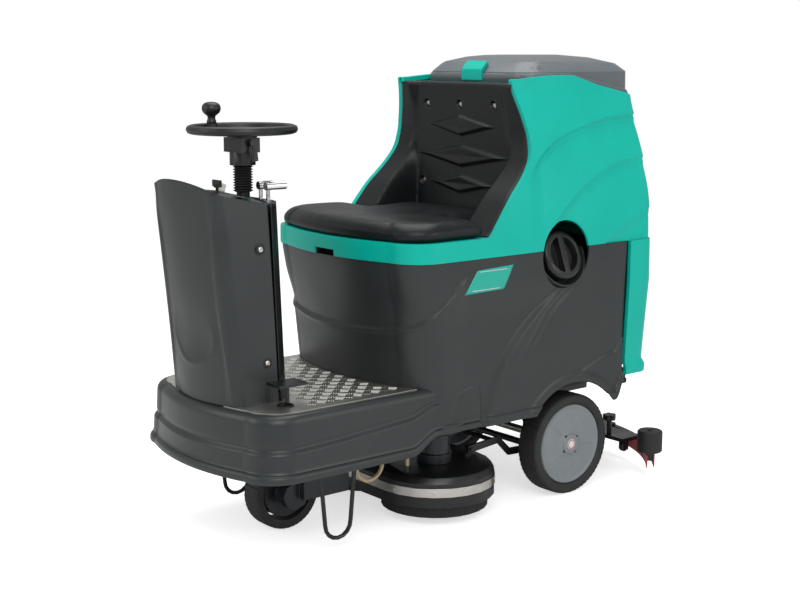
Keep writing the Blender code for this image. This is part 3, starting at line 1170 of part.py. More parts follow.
ARC_RADIUS = (SQUEEGEE_HALF ** 2 + SQUEEGEE_SAG ** 2) / (2 * SQUEEGEE_SAG)
ARC_CENTRE = (0.0, SQUEEGEE_BACK - ARC_RADIUS)
ROLLER_X = SQUEEGEE_HALF - 0.022
ROLLER_Y = ARC_CENTRE[1] + math.sqrt((ARC_RADIUS - 0.016) ** 2 - (SQUEEGEE_HALF - 0.022) ** 2)
BEAM_LOW = 0.076
BEAM_HIGH = 0.1025
BRIDGE = (0.662, 0.748)
CASTER_X = 0.225
CASTER_Y = 0.690
CASTER_RADIUS = 0.0165
KNOB_X = 0.170


def bow(inner, outer, half_angle, steps=18):
    """A curved bar's plan outline about the squeegee's centre."""
    start = 90 - half_angle
    end = 90 + half_angle
    return arc(ARC_CENTRE, outer, start, end, steps) + arc(ARC_CENTRE, inner, end, start, steps)


def squeegee():
    """The curved beam with its bridge plate, and the rubber blade behind it."""
    reach = math.degrees(math.asin(SQUEEGEE_HALF / ARC_RADIUS))
    blade_in = ARC_RADIUS - BLADE_THICKNESS
    beam_out = blade_in - GAP
    beam = slab("squeegee_beam", bow(beam_out - BEAM_DEPTH, beam_out, reach), BEAM_LOW, BEAM_HIGH, BLACK, 0.4, 0.5)
    plate_low = BEAM_HIGH - 0.006
    bridge = box("bridge", (-CASTER_X - 0.02, BRIDGE[0], plate_low), (CASTER_X + 0.02, BRIDGE[1], BEAM_HIGH + 0.006))
    reach_plate = box("reach_plate", (-0.09, BRIDGE[0], plate_low), (0.09, SQUEEGEE_BACK - 0.012, BEAM_HIGH + 0.006))
    lug_outline = [(LEVEL_PIVOT[0] - 0.014, LEVEL_PIVOT[1] + 0.012), (LEVEL_PIVOT[0] - 0.014, LEVEL_PIVOT[1] - 0.014),
                   (BRIDGE[0] + 0.004, plate_low), (BRIDGE[0] + 0.05, plate_low),
                   (BRIDGE[0] + 0.05, BEAM_HIGH + 0.004), (LEVEL_PIVOT[0] + 0.02, LEVEL_PIVOT[1] + 0.012)]
    lugs = both_sides(lambda side, word: slab(f"level_lug_{word}", lug_outline, *span(side, LIFT_EAR_X - 0.001,
                                                                                     LIFT_EAR_X + 0.007), along="X"))
    pins = both_sides(lambda side, word: rod(f"roller_pin_{word}", (side * ROLLER_X, ROLLER_Y, BEAM_HIGH - 0.010),
                                             (side * ROLLER_X, ROLLER_Y, BEAM_HIGH + ROLLER_HEIGHT + 0.004), 0.006,
                                             segments=10))
    forks = []
    for side in (-1, 1):
        for offset in (-0.0135, 0.0095):
            x = side * CASTER_X
            forks.append(box(f"caster_cheek_{side}_{offset}", (x + offset, CASTER_Y - 0.008, CASTER_Z - 0.010),
                             (x + offset + 0.004, CASTER_Y + 0.008, plate_low + 0.003)))
    stud = rod("suction_port", (0, BRIDGE[1] + 0.02, plate_low), (0, BRIDGE[1] + 0.02, BEAM_HIGH + 0.035), 0.024)
    join(beam, bridge, reach_plate, *lugs, *pins, *forks, stud)
    cut(beam, cross_bore("level_hole", LEVEL_PIVOT, -0.1, 0.1, LIFT_PIN, 12),
        rod("port_bore", (0, BRIDGE[1] + 0.02, plate_low - 0.02), (0, BRIDGE[1] + 0.02, 0.2), 0.019),
        *[cross_bore(f"caster_hole_{side}", (CASTER_Y, CASTER_Z), side * CASTER_X - 0.03, side * CASTER_X + 0.03,
                     0.003, 10) for side in (-1, 1)])
    slab("squeegee_blade", bow(blade_in, ARC_RADIUS, reach), BLADE_BOTTOM, BEAM_HIGH - 0.004, (0.35, 0.01, 0.03), 0.5)


CASTER_Z = BLADE_BOTTOM + 0.003 + CASTER_RADIUS


def caster(side, word):
    """A small wheel that keeps the squeegee at its working height."""
    profile = [(0, 0.0130), (0.003, 0.0130), (0.003, 0.009), (CASTER_RADIUS - 0.003, 0.009), (CASTER_RADIUS, 0.006),
               (CASTER_RADIUS, -0.006), (CASTER_RADIUS - 0.003, -0.009), (0.003, -0.009), (0.003, -0.0130), (0, -0.0130)]
    turned(f"squeegee_caster_{word}", profile, facing((side * CASTER_X, CASTER_Y, CASTER_Z), (1, 0, 0)), BLACK, 0.6,
           steps=20)


def bumper_roller(side, word):
    """The upright roller that guides the squeegee along walls."""
    low = BEAM_HIGH + GAP
    high = low + ROLLER_HEIGHT
    profile = [(0.006 + GAP, high), (ROLLER_RADIUS - 0.004, high), (ROLLER_RADIUS, high - 0.004),
               (ROLLER_RADIUS, low + 0.004), (ROLLER_RADIUS - 0.004, low), (0.006 + GAP, low)]
    turned(f"bumper_roller_{word}", profile, Matrix.Translation((side * ROLLER_X, ROLLER_Y, 0)), BLACK, 0.6, steps=20)


def star_knob(side, word):
    """A star knob that clamps the squeegee to its bridge."""
    low = BEAM_HIGH + 0.006 + GAP
    x = side * KNOB_X
    y = BRIDGE[0] + 0.018
    knob = rod(f"squeegee_knob_{word}", (x, y, low), (x, y, low + 0.050), 0.008, BLACK, 0.5, segments=10)
    petals = [rod(f"petal_{word}_{index}", (x + 0.012 * math.cos(index * math.tau / 5), y + 0.012 * math.sin(
        index * math.tau / 5), low + 0.046), (x + 0.012 * math.cos(index * math.tau / 5), y + 0.012 * math.sin(
            index * math.tau / 5), low + 0.064), 0.010, segments=12) for index in range(5)]
    join(knob, *petals)


def squeegee_arm():
    """The pair of links that lift the squeegee."""
    outline = strip([LIFT_PIVOT, LEVEL_PIVOT], 0.010)
    inner = LIFT_EAR_X - 0.014
    arm = slab("squeegee_arm", outline, inner, inner + 0.008, BLACK, 0.4, 0.5, along="X")
    other = slab("other_link", outline, -inner - 0.008, -inner, along="X")
    reach = LIFT_EAR_X + 0.008
    middle = ((LIFT_PIVOT[0] + LEVEL_PIVOT[0]) / 2, (LIFT_PIVOT[1] + LEVEL_PIVOT[1]) / 2)
    join(arm, other, cross_rod("lift_pin", LIFT_PIVOT, -reach, reach, LIFT_PIN, segments=12),
         cross_rod("level_pin", LEVEL_PIVOT, -reach, reach, LIFT_PIN, segments=12),
         cross_rod("link_tie", middle, -inner - 0.004, inner + 0.004, 0.006, segments=12))


# ---------------------------------------------------------------- assembly

chassis_frame()
lower_body()
checker_plate()
filler_neck()
filler_cap()
battery_pack()
rear_axle()
steering_chain()
steer_fork()
drive_motor()
drive_wheel()
column_cover()
column_rear_panel()
control_panel()
hand_lever("squeegee_lever", LEVER_X[1])
hand_lever("brush_lever", LEVER_X[0])
key_and_wing_knob()
steering_column()
direction_switch()
steering_wheel()
pedal("brake_pedal", 1)
pedal("accelerator_pedal", -1)
upper_body()
seat_cushion()
seat_back()
tank_lid()
lid_latch()
vacuum_motor()
drain_outlet()
deck_cover()
deck_arms()
deck_actuator()
solution_supply()
squeegee()
squeegee_arm()
for build_pair in (guard_hoop, rear_wheel, brush, brush_motor, caster, bumper_roller, star_knob):
    both_sides(build_pair)
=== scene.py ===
# %% [markdown]
# # A ride-on floor scrubber
#
# The machine is a battery scrubber that a person sits on: a dark base moulding carries a steering column and a
# chequered foot platform, and a teal tank with the seat tilts up behind. Its bodies, joints and real sizes come
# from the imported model. This script gives every surface its true form and finish around that frame.

# %% Load the frame
import json
import math

import bmesh
import bpy
import numpy as np
from mathutils import Matrix, Vector


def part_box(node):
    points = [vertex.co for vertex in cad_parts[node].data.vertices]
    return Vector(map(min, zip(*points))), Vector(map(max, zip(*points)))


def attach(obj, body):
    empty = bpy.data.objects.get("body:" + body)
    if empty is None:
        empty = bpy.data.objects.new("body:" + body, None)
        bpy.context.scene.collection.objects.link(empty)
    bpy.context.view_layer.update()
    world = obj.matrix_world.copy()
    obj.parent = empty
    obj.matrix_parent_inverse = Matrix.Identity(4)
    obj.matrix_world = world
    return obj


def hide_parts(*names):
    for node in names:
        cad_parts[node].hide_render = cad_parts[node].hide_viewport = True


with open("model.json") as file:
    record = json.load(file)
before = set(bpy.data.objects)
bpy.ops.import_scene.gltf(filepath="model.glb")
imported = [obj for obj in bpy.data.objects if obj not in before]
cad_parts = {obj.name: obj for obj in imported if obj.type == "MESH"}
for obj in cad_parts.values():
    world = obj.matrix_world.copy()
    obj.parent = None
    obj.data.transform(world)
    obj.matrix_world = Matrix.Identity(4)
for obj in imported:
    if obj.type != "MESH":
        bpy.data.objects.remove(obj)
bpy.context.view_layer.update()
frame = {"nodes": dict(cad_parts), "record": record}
nodes = frame["nodes"]
body_of = {node: body for body, members in frame["record"]["behaviour"]["bodies"].items() for node in members}
slot_of = {part["node"]: part["material_slot"] for part in frame["record"]["subparts"]}
for plain in bpy.data.materials:
    plain.name = f"frame_{plain.name}"

# %% [markdown]
# ## The camera, the floor and the light
#
# The camera has a longish lens and stands at a person's height. The floor and the backdrop are white, and large
# soft lamps keep the shadows open, so that the dark mouldings still show their shape.

# %% Camera
camera_place = Vector((3.2102, -2.6208, 1.3310))
turn = math.radians(51.33)
fall = math.radians(10.02)
sight = Vector((-math.sin(turn) * math.cos(fall), math.cos(turn) * math.cos(fall), -math.sin(fall)))
camera_data = bpy.data.cameras.new("camera")
camera_data.sensor_width = 36
camera_data.lens = 63.6
camera = bpy.data.objects.new("camera", camera_data)
camera.matrix_world = Matrix.Translation(camera_place) @ sight.to_track_quat("-Z", "Y").to_matrix().to_4x4()
bpy.context.scene.collection.objects.link(camera)
bpy.context.scene.camera = camera
bpy.context.scene.view_settings.view_transform = "Standard"
print(f"camera {camera_place.z:.2f} m above the floor")

# %% [markdown]
# Every material is a small node tree. One function adds a node with its settings and its links, and one turns a
# written colour into the linear light that the shader works in.

# %% Colours and nodes
def linear(code):
    """A hex colour as linear RGBA: each channel above 0.04 is ((c + 0.055) / 1.055) to the power 2.4."""
    channels = np.array([int(code[start:start + 2], 16) / 255 for start in (0, 2, 4)])
    bright = ((channels + 0.055) / 1.055) ** 2.4
    return (*np.where(channels > 0.04045, bright, channels / 12.92), 1.0)


def wire(tree, kind, inputs=None, **settings):
    """Adds one node: settings are its properties, and an input is a value or a socket to link from."""
    made = tree.nodes.new(kind)
    for key, value in settings.items():
        setattr(made, key, value)
    for key, value in (inputs or {}).items():
        if isinstance(value, bpy.types.NodeSocket):
            tree.links.new(value, made.inputs[key])
        else:
            made.inputs[key].default_value = value
    return made


def new_material(name, **sockets):
    """A material with its Principled shader's own sockets set, and its tree and shader to build on."""
    material = bpy.data.materials.new(name)
    material.use_nodes = True
    tree = material.node_tree
    shader = tree.nodes["Principled BSDF"]
    for key, value in sockets.items():
        shader.inputs[key.replace("_", " ")].default_value = value
    return material, tree, shader


# %% Floor, world and lamps
def white_room():
    """The world is white to the eye and through clear parts, and a calmer grey as light and in reflections."""
    world = bpy.data.worlds.new("studio")
    world.use_nodes = True
    tree = world.node_tree
    path = wire(tree, "ShaderNodeLightPath")
    seen = wire(tree, "ShaderNodeMath", {0: path.outputs["Is Camera Ray"], 1: path.outputs["Is Transmission Ray"]},
                operation="MAXIMUM")
    strength = wire(tree, "ShaderNodeMapRange", {"Value": seen.outputs[0], "To Min": 0.46, "To Max": 1.0})
    back = tree.nodes["Background"]
    back.inputs["Color"].default_value = (1.0, 1.0, 1.0, 1.0)
    tree.links.new(strength.outputs[0], back.inputs["Strength"])
    bpy.context.scene.world = world


def floor_finish():
    """A pale matt floor that a camera sees as white where nothing shades it."""
    material, tree, shader = new_material("studio_floor", Base_Color=linear("EDEDED"), Roughness=0.9)
    path = wire(tree, "ShaderNodeLightPath")
    glow = wire(tree, "ShaderNodeEmission", {"Color": (1.0, 1.0, 1.0, 1.0), "Strength": 0.62})
    both = wire(tree, "ShaderNodeAddShader", {0: shader.outputs[0], 1: glow.outputs[0]})
    choice = wire(tree, "ShaderNodeMixShader", {0: path.outputs["Is Camera Ray"], 1: shader.outputs[0],
                                                2: both.outputs[0]})
    tree.links.new(choice.outputs[0], tree.nodes["Material Output"].inputs["Surface"])
    return material


def area_lamp(name, place, target, size, power):
    """A square soft lamp at a place, turned to a target."""
    data = bpy.data.lights.new(name, "AREA")
    data.size = size
    data.energy = power
    lamp = bpy.data.objects.new(name, data)
    towards = Vector(target) - Vector(place)
    lamp.matrix_world = Matrix.Translation(place) @ towards.to_track_quat("-Z", "Y").to_matrix().to_4x4()
    bpy.context.scene.collection.objects.link(lamp)


FLOOR_HALF = 60.0
corners = [(x * FLOOR_HALF, y * FLOOR_HALF, 0.0) for x, y in ((-1, -1), (1, -1), (1, 1), (-1, 1))]
floor_mesh = bpy.data.meshes.new("studio_floor")
floor_mesh.from_pydata(corners, [], [(0, 1, 2, 3)])
floor_mesh.materials.append(floor_finish())
floor = bpy.data.objects.new("studio_floor", floor_mesh)
bpy.context.scene.collection.objects.link(floor)
white_room()
LAMPS = (("key_lamp", (3.4, -2.2, 3.2), (0, 0, 0.6), 2.6, 92),
         ("top_lamp", (-0.4, 0.2, 3.8), (0, 0, 0.5), 2.8, 74),
         ("front_lamp", (-1.5, -4.2, 2.2), (0, -0.3, 0.6), 2.4, 44),
         ("side_lamp", (4.2, 1.8, 1.8), (0, 0.2, 0.6), 2.0, 34))
for lamp_row in LAMPS:
    area_lamp(*lamp_row)
print(len(LAMPS), "lamps over the floor")

# %% [markdown]
# ## The finishes
#
# Almost every large part is polyethylene, rotationally moulded: powder melts inside a turning mould, which
# leaves a satin skin with a faint orange peel and slow waves in its shine. The other parts are painted or bright
# steel, rubber, and injection-moulded plastic with a fine spark-eroded grain.

# %% Plastics, rubber and paint
MILLI = 0.001


def finished(material, colour, shine, relief, depth_mm):
    """Links a colour and a shine to the material's shader, and a relief through a bump of that depth."""
    tree = material.node_tree
    bump = wire(tree, "ShaderNodeBump", {"Height": relief.outputs[0], "Strength": 1.0,
                                         "Distance": depth_mm * MILLI})
    shader = tree.nodes["Principled BSDF"]
    for made, output, name in ((colour, 2, "Base Color"), (shine, 0, "Roughness"), (bump, 0, "Normal")):
        tree.links.new(made.outputs[output], shader.inputs[name])
    return material


def mottled(name, dark, light, roughness, grain_mm, depth_mm, patch_mm=90, spread=0.08, **sockets):
    """A finish whose colour and shine drift slowly over patches, under a fine raised grain."""
    material, tree, _ = new_material(name, **sockets)
    place = wire(tree, "ShaderNodeTexCoord").outputs["Object"]
    patches = wire(tree, "ShaderNodeTexNoise", {"Vector": place, "Scale": 1 / (patch_mm * MILLI), "Detail": 3.0})
    grain = wire(tree, "ShaderNodeTexNoise", {"Vector": place, "Scale": 1 / (grain_mm * MILLI), "Detail": 2.0})
    colour = wire(tree, "ShaderNodeMix", {0: patches.outputs[0], 6: linear(dark), 7: linear(light)}, data_type="RGBA")
    shine = wire(tree, "ShaderNodeMapRange", {"Value": patches.outputs[0], "From Min": 0.3, "From Max": 0.7,
                                              "To Min": roughness - spread, "To Max": roughness + spread})
    return finished(material, colour, shine, grain, depth_mm)


# Rotationally moulded polyethylene: waxy, with a peel of about 6 mm that breaks up the highlights.
teal_polyethylene = mottled("teal_polyethylene", "00A897", "00B5A3", 0.36, 6, 0.08, 140, 0.05, IOR=1.33)
grey_polyethylene = mottled("grey_polyethylene", "242828", "2E3232", 0.38, 6, 0.12, 140, 0.05, IOR=1.46)
# Integral-skin polyurethane foam: a closed leathery skin, darker and softer than the mouldings.
seat_skin = mottled("seat_skin", "0E0F10", "16181A", 0.40, 3, 0.10, 120, 0.05, IOR=1.36)
# Injection-moulded ABS for the lid, glass-filled nylon for handles and caps, and soft PVC on what a hand holds.
lid_plastic = mottled("lid_plastic", "565C60", "646A6E", 0.36, 5, 0.08, 140, 0.05, IOR=1.5)
black_plastic = mottled("black_plastic", "0D0E0F", "151617", 0.38, 2.5, 0.06, 60, 0.06, IOR=1.52)
soft_black = mottled("soft_black", "0B0C0D", "121314", 0.44, 3, 0.08, 60, 0.05, IOR=1.5)
# Textured ABS sheet on the console.
panel_plastic = mottled("panel_plastic", "26292B", "303436", 0.35, 2.5, 0.05, 60, 0.05, IOR=1.5)
# Vulcanised rubber: matt and dusty where it rolls.
tyre_rubber = mottled("tyre_rubber", "1A1B1B", "272827", 0.70, 3, 0.25, 40, 0.08, IOR=1.52)
black_rubber = mottled("black_rubber", "0E0E0E", "181818", 0.58, 2.5, 0.10, 40, 0.08, IOR=1.52)
red_rubber = mottled("red_rubber", "A31430", "BF1E3C", 0.45, 3, 0.06, 60, 0.06, IOR=1.52)
# Powder coat on steel: hard, slightly pebbled.
black_steel = mottled("black_steel", "0B0C0D", "121415", 0.34, 3, 0.06, 60, 0.06, IOR=1.5)
# Grey polypropylene wheel discs, an enamelled cast motor, and a polypropylene battery case.
grey_wheel = mottled("grey_wheel", "71777A", "82888B", 0.42, 3, 0.06, 50, 0.06, IOR=1.5)
motor_metal = mottled("motor_metal", "1B1D20", "2A2D31", 0.34, 3, 0.08, 50, 0.06, IOR=1.5)
battery_case = mottled("battery_case", "17181A", "232527", 0.5, 3, 0.10, 50, 0.06, IOR=1.5)
# Nylon bristles, and PVC tube that water has turned a little yellow.
brush_plastic = mottled("brush_plastic", "101112", "1C1D1F", 0.62, 2, 0.30, 20, 0.08, IOR=1.5)
clear_hose = mottled("clear_hose", "C9B48C", "DCC9A3", 0.22, 4, 0.04, 30, 0.05, IOR=1.5,
                     Transmission_Weight=0.35)
# Acrylic hub caps and white label film: smooth, so they flash where a lamp is in line.
white_plastic = mottled("white_plastic", "C9CCCC", "D6D9D9", 0.25, 4, 0.01, 60, 0.03, IOR=1.49)
# Printed polyester film in the machine's own teal, and the dark glass over the display.
label_film = mottled("label_film", "12A08F", "16A896", 0.28, 3, 0.01, 60, 0.03, IOR=1.5)
screen_glass = mottled("screen_glass", "0B0E12", "10151A", 0.10, 3, 0.002, 60, 0.02, IOR=1.52)


# %% Metals
def drawn_metal(name, dark, light, roughness, line_mm, depth_mm):
    """Bright metal with fine parallel lines along Y, as rolling or turning leaves them."""
    material, tree, _ = new_material(name, Metallic=1.0)
    place = wire(tree, "ShaderNodeTexCoord").outputs["Object"]
    across = 1 / (line_mm * MILLI)
    stretched = wire(tree, "ShaderNodeMapping", {"Vector": place, "Scale": (across, across * 0.04, across)})
    lines = wire(tree, "ShaderNodeTexNoise", {"Vector": stretched.outputs[0], "Scale": 1.0, "Detail": 3.0})
    colour = wire(tree, "ShaderNodeMix", {0: lines.outputs[0], 6: linear(dark), 7: linear(light)}, data_type="RGBA")
    shine = wire(tree, "ShaderNodeMapRange", {"Value": lines.outputs[0], "To Min": roughness - 0.08,
                                              "To Max": roughness + 0.10})
    return finished(material, colour, shine, lines, depth_mm)


# Cold-rolled steel, chrome plate and tread aluminium, whose grain is drawn a few times too coarse so that it shows.
bright_steel = drawn_metal("bright_steel", "B4B2AC", "D8D6D0", 0.30, 2.0, 0.02)
chrome_grip = drawn_metal("chrome_grip", "D9DADC", "F0F0F0", 0.12, 3.0, 0.004)
tread_aluminium = drawn_metal("tread_aluminium", "B9B8B2", "D3D2CC", 0.36, 3.0, 0.02)

finishes = {material.name: material for material in (
    teal_polyethylene, grey_polyethylene, seat_skin, lid_plastic, black_plastic, soft_black, panel_plastic,
    tyre_rubber, black_rubber, red_rubber, black_steel, grey_wheel, motor_metal, battery_case, brush_plastic,
    clear_hose, bright_steel, chrome_grip, tread_aluminium)}
print(len(finishes), "finishes for the frame's slots")

# %% [markdown]
# ## Helpers for surfaces
#
# A new piece is an array of points worked out from two parameters, which becomes a grid of four-sided faces.
# A piece that the frame already has in the right shape keeps that shape, and a copy of it gets rounded edges,
# because no real edge is perfectly sharp and the thin highlight on it tells the eye what it is made of.

# %% From arrays to pieces
SAME_PLACE = 1e-6


def grid(name, points, wrap_rows=False, wrap_columns=False, capped=False):
    """A mesh from points[row, column]: each cell is a face, and a wrap joins the last line to the first."""
    rows, columns = points.shape[:2]
    index = np.arange(rows * columns).reshape(rows, columns)
    if wrap_rows:
        index = np.vstack([index, index[:1]])
    if wrap_columns:
        index = np.hstack([index, index[:, :1]])
    faces = np.stack([index[:-1, :-1], index[:-1, 1:], index[1:, 1:], index[1:, :-1]], -1).reshape(-1, 4).tolist()
    if capped:
        faces += [index[0, :columns][::-1].tolist(), index[-1, :columns].tolist()]
    mesh = bpy.data.meshes.new(name)
    mesh.from_pydata(points.reshape(-1, 3).tolist(), [], faces)
    return mesh


def pole(ring):
    """One point repeated at a ring's middle, so that the rows before it close there."""
    return np.broadcast_to(ring.mean(axis=1, keepdims=True), ring.shape)


def tidy(mesh, outward=True):
    """Merges points that coincide and turns the faces outwards."""
    made = bmesh.new()
    made.from_mesh(mesh)
    bmesh.ops.remove_doubles(made, verts=made.verts, dist=SAME_PLACE)
    if outward:
        bmesh.ops.recalc_face_normals(made, faces=made.faces)
    made.to_mesh(mesh)
    made.free()
    return mesh


def piece(name, mesh, material, body, slot=None, stands_for=(), wall=0.0, bevel=0.0, crease=35, outward=True):
    """A finished piece on its body: a wall gives an open surface its thickness, and a bevel rounds its edges."""
    tidy(mesh, outward=outward)
    mesh.materials.clear()
    mesh.materials.append(material)
    made = bpy.data.objects.new(name, mesh)
    bpy.context.scene.collection.objects.link(made)
    mesh.shade_smooth()
    mesh.set_sharp_from_angle(angle=math.radians(crease))
    if wall:
        solidify = made.modifiers.new("wall", "SOLIDIFY")
        solidify.thickness = wall
        solidify.offset = -1.0
    if bevel:
        rounding = made.modifiers.new("rounding", "BEVEL")
        rounding.width = bevel
        rounding.segments = 2
        rounding.limit_method = "ANGLE"
        rounding.angle_limit = math.radians(crease)
        rounding.harden_normals = True
    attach(made, body)
    if stands_for:
        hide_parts(*stands_for)
    return made


# %% Copies of the frame's own shapes
def merged_copy(node):
    """A node's mesh with its loose triangles joined and its flat faces whole again."""
    mesh = nodes[node].data.copy()
    made = bmesh.new()
    made.from_mesh(mesh)
    bmesh.ops.remove_doubles(made, verts=made.verts, dist=2 * SAME_PLACE)
    bmesh.ops.dissolve_limit(made, angle_limit=math.radians(0.5), verts=made.verts, edges=made.edges)
    made.to_mesh(mesh)
    made.free()
    return mesh


def rounded(node, bevel, material=None, crease=35):
    """The frame's own shape with its edges rounded, standing for that node."""
    mesh = merged_copy(node)
    mesh.name = node
    return piece(f"{node}_shape", mesh, material or finishes[slot_of[node]], body_of[node], slot_of[node], (node,),
                 bevel=bevel, crease=crease, outward=False)


# %% Curves and turned shapes
def smooth(value, low, high):
    """Rises from 0 to 1 between two limits along 3t^2 - 2t^3."""
    share = np.clip((value - low) / (high - low), 0.0, 1.0)
    return share * share * (3.0 - 2.0 * share)


def through(value, places, heights):
    """A curve through a few points, rounded by averaging the straight runs over a short window."""
    window = np.linspace(-1, 1, 9)[:, None] * 0.018
    flat = np.asarray(value, float).reshape(1, -1)
    return np.interp(flat + window, places, heights).mean(0).reshape(np.shape(value))


def axes_for(direction):
    """Two unit vectors square to a direction and to each other."""
    forward = np.array(direction, float)
    forward /= np.linalg.norm(forward)
    helper = np.array((0.0, 0.0, 1.0)) if abs(forward[2]) < 0.9 else np.array((0.0, 1.0, 0.0))
    across = np.cross(helper, forward)
    across /= np.linalg.norm(across)
    return forward, across, np.cross(forward, across)


def turned(profile, centre, axis, steps=48, ripple=None):
    """Points of a turned surface: at (radius, height) each ring is centre + height along axis + radius round it."""
    forward, across, up = axes_for(axis)
    profile = np.array(profile, float)
    angle = np.linspace(0, 2 * np.pi, steps, endpoint=False)
    radius = profile[:, 0, None] * np.ones(steps)
    if ripple is not None:
        radius = ripple(radius, profile[:, 1, None], angle)
    ring = np.cos(angle)[:, None] * across + np.sin(angle)[:, None] * up
    return np.array(centre, float) + profile[:, 1, None, None] * forward + radius[:, :, None] * ring


def turning(name, profile, centre, axis, material, body, steps=48, **rest):
    """A turned piece whose profile starts and ends on its axis, or closes on itself."""
    closed = rest.pop("ring", False)
    ripple = rest.pop("ripple", None)
    mesh = grid(name, turned(profile, centre, axis, steps, ripple=ripple), wrap_rows=closed, wrap_columns=True)
    return piece(name, mesh, material, body, **rest)


def swept(path, radius, sides=12):
    """Points of a round bar: circles square to a path, kept from twisting by carrying one frame along it."""
    path = np.array(path, float)
    along = np.gradient(path, axis=0)
    along /= np.linalg.norm(along, axis=1)[:, None]
    across = axes_for(along[0])[1]
    turn_by = np.linspace(0, 2 * np.pi, sides, endpoint=False)
    rows = []
    for here, ahead in zip(path, along):
        across = across - ahead * (across @ ahead)
        across /= np.linalg.norm(across)
        up = np.cross(ahead, across)
        rows.append(here + radius * (np.cos(turn_by)[:, None] * across + np.sin(turn_by)[:, None] * up))
    return np.array(rows)


def joined(name, meshes):
    """Several meshes as one."""
    made = bmesh.new()
    for mesh in meshes:
        made.from_mesh(mesh)
        bpy.data.meshes.remove(mesh)
    whole = bpy.data.meshes.new(name)
    made.to_mesh(whole)
    made.free()
    return whole

# %% [markdown]
# ## The solution hose
#
# A clear hose feeds water from the valve under the platform to the brush deck. It hangs in an S of two half
# circles between its two fittings, and its whole length shows. The route repeats the frame's own, in metres.

# %% Solution hose
HOSE_RADIUS = 0.0055
HOSE_X = 0.200
HOSE_START = (-0.365, 0.2395)
HOSE_BEND = 0.045
HOSE_BEND_Z = 0.197
HOSE_END_Z = 0.1683
HOSE_STEPS = 24


def half_circle(centre_y, start, end):
    """Points (x, y, z) along half a turn in the hose's plane: centre + radius times (cos, sin)."""
    angle = np.radians(np.linspace(start, end, HOSE_STEPS))
    return np.stack([np.full(HOSE_STEPS, HOSE_X), centre_y + HOSE_BEND * np.cos(angle),
                     HOSE_BEND_Z + HOSE_BEND * np.sin(angle)], 1)


first_y, first_z = HOSE_START
route = np.concatenate([
    [(HOSE_X, first_y, first_z), (HOSE_X, first_y, (first_z + HOSE_BEND_Z) / 2)],
    half_circle(first_y + HOSE_BEND, 180, 360), half_circle(first_y + 3 * HOSE_BEND, 180, 0)[1:],
    [(HOSE_X, first_y + 4 * HOSE_BEND, HOSE_END_Z)]])
hose = piece("solution_hose_tube", grid("hose", swept(route, HOSE_RADIUS, 16), wrap_columns=True, capped=True),
             clear_hose, "chassis", "clear_hose", ("solution_hose",))

# %% [markdown]
# ## The plan of the bodies
#
# Seen from above, the pedestal, the band and the tank are all one kind of outline: a front edge that bows along
# a parabola, a quarter circle at each corner, straight sides and a flat rear. A body is such an outline whose
# sizes change with height, so one function gives all of them as a grid of points.

# %% Plan outlines
def plan(height, half, front, rear, bow, front_radius, rear_radius, edge=12, corner=12, side=56, back=12):
    """Rings of points, one row for each height, from the middle of the front round to the left and back.

    Front edge: y = front + bow (x / half)^2. Corners: quarter circles. Sides and rear: straight.
    """
    size = [np.broadcast_to(np.asarray(value, float), np.shape(height))[:, None]
            for value in (half, front, rear, bow, front_radius, rear_radius)]
    half, front, rear, bow, front_radius, rear_radius = size
    run = half - front_radius
    share = np.linspace(0, 1, edge)[None, :-1]
    quarter = np.radians(np.linspace(0, 90, corner))[None, :]
    corner_y = front + bow * (run / half) ** 2 + front_radius
    along = np.linspace(0, 1, side)[None, 1:-1]
    home = np.linspace(1, 0, back)[None, 1:]
    level = np.ones_like(along)
    x = np.concatenate([run * share, run + front_radius * np.sin(quarter), half * level,
                        half - rear_radius + rear_radius * np.cos(quarter), (half - rear_radius) * home], 1)
    y = np.concatenate([front + bow * (run * share / half) ** 2, corner_y - front_radius * np.cos(quarter),
                        corner_y + (rear - rear_radius - corner_y) * along,
                        rear - rear_radius + rear_radius * np.sin(quarter), rear * np.ones_like(home)], 1)
    x = np.concatenate([x, -x[:, -2:0:-1]], 1)
    y = np.concatenate([y, y[:, -2:0:-1]], 1)
    z = np.asarray(height, float)[:, None] * np.ones_like(x)
    return np.stack([x, y, z], -1)


def both_halves(half):
    """Rows of points that start on one side, followed by their mirror image on the other."""
    return np.concatenate([half, half[:, ::-1][:, 1:] * np.array([-1.0, 1.0, 1.0])], 1)


def side_and_rear(height, half, rear, front, side_steps):
    """Rows from a side's front edge straight to the rear corner, round a quarter circle, and across to the middle."""
    along = np.linspace(0, 1, side_steps)[None, :]
    quarter = np.radians(np.linspace(0, 90, 14))[None, 1:]
    home = np.linspace(1, 0, 16)[None, 1:]
    x = np.concatenate([half * np.ones_like(along), half - REAR_CORNER + REAR_CORNER * np.cos(quarter),
                        (half - REAR_CORNER) * home], 1)
    y = np.concatenate([front + (rear - REAR_CORNER - front) * along,
                        rear - REAR_CORNER + REAR_CORNER * np.sin(quarter), rear * np.ones_like(home)], 1)
    return x, y, height[:, None] * np.ones_like(x)


def outward(points, closed=True):
    """Each point's sideways direction away from its ring or open row, worked out from its neighbours along it."""
    along = np.roll(points, -1, axis=1) - np.roll(points, 1, axis=1) if closed else np.gradient(points, axis=1)
    out = np.stack([along[..., 1], -along[..., 0], np.zeros(along.shape[:2])], -1)
    return out / np.maximum(np.linalg.norm(out, axis=-1, keepdims=True), 1e-9)


# %% [markdown]
# ## The recovery tank
#
# The teal tank is moulded in one piece: a band under the seat, the tank's sides sweeping up behind the driver, and
# a leg down the rear. Three long creases cross its sides, so that the big surface is stiff and catches the light.
# Each crease is a gentle step along a curve: the surface drops by a few millimetres where the height passes it.

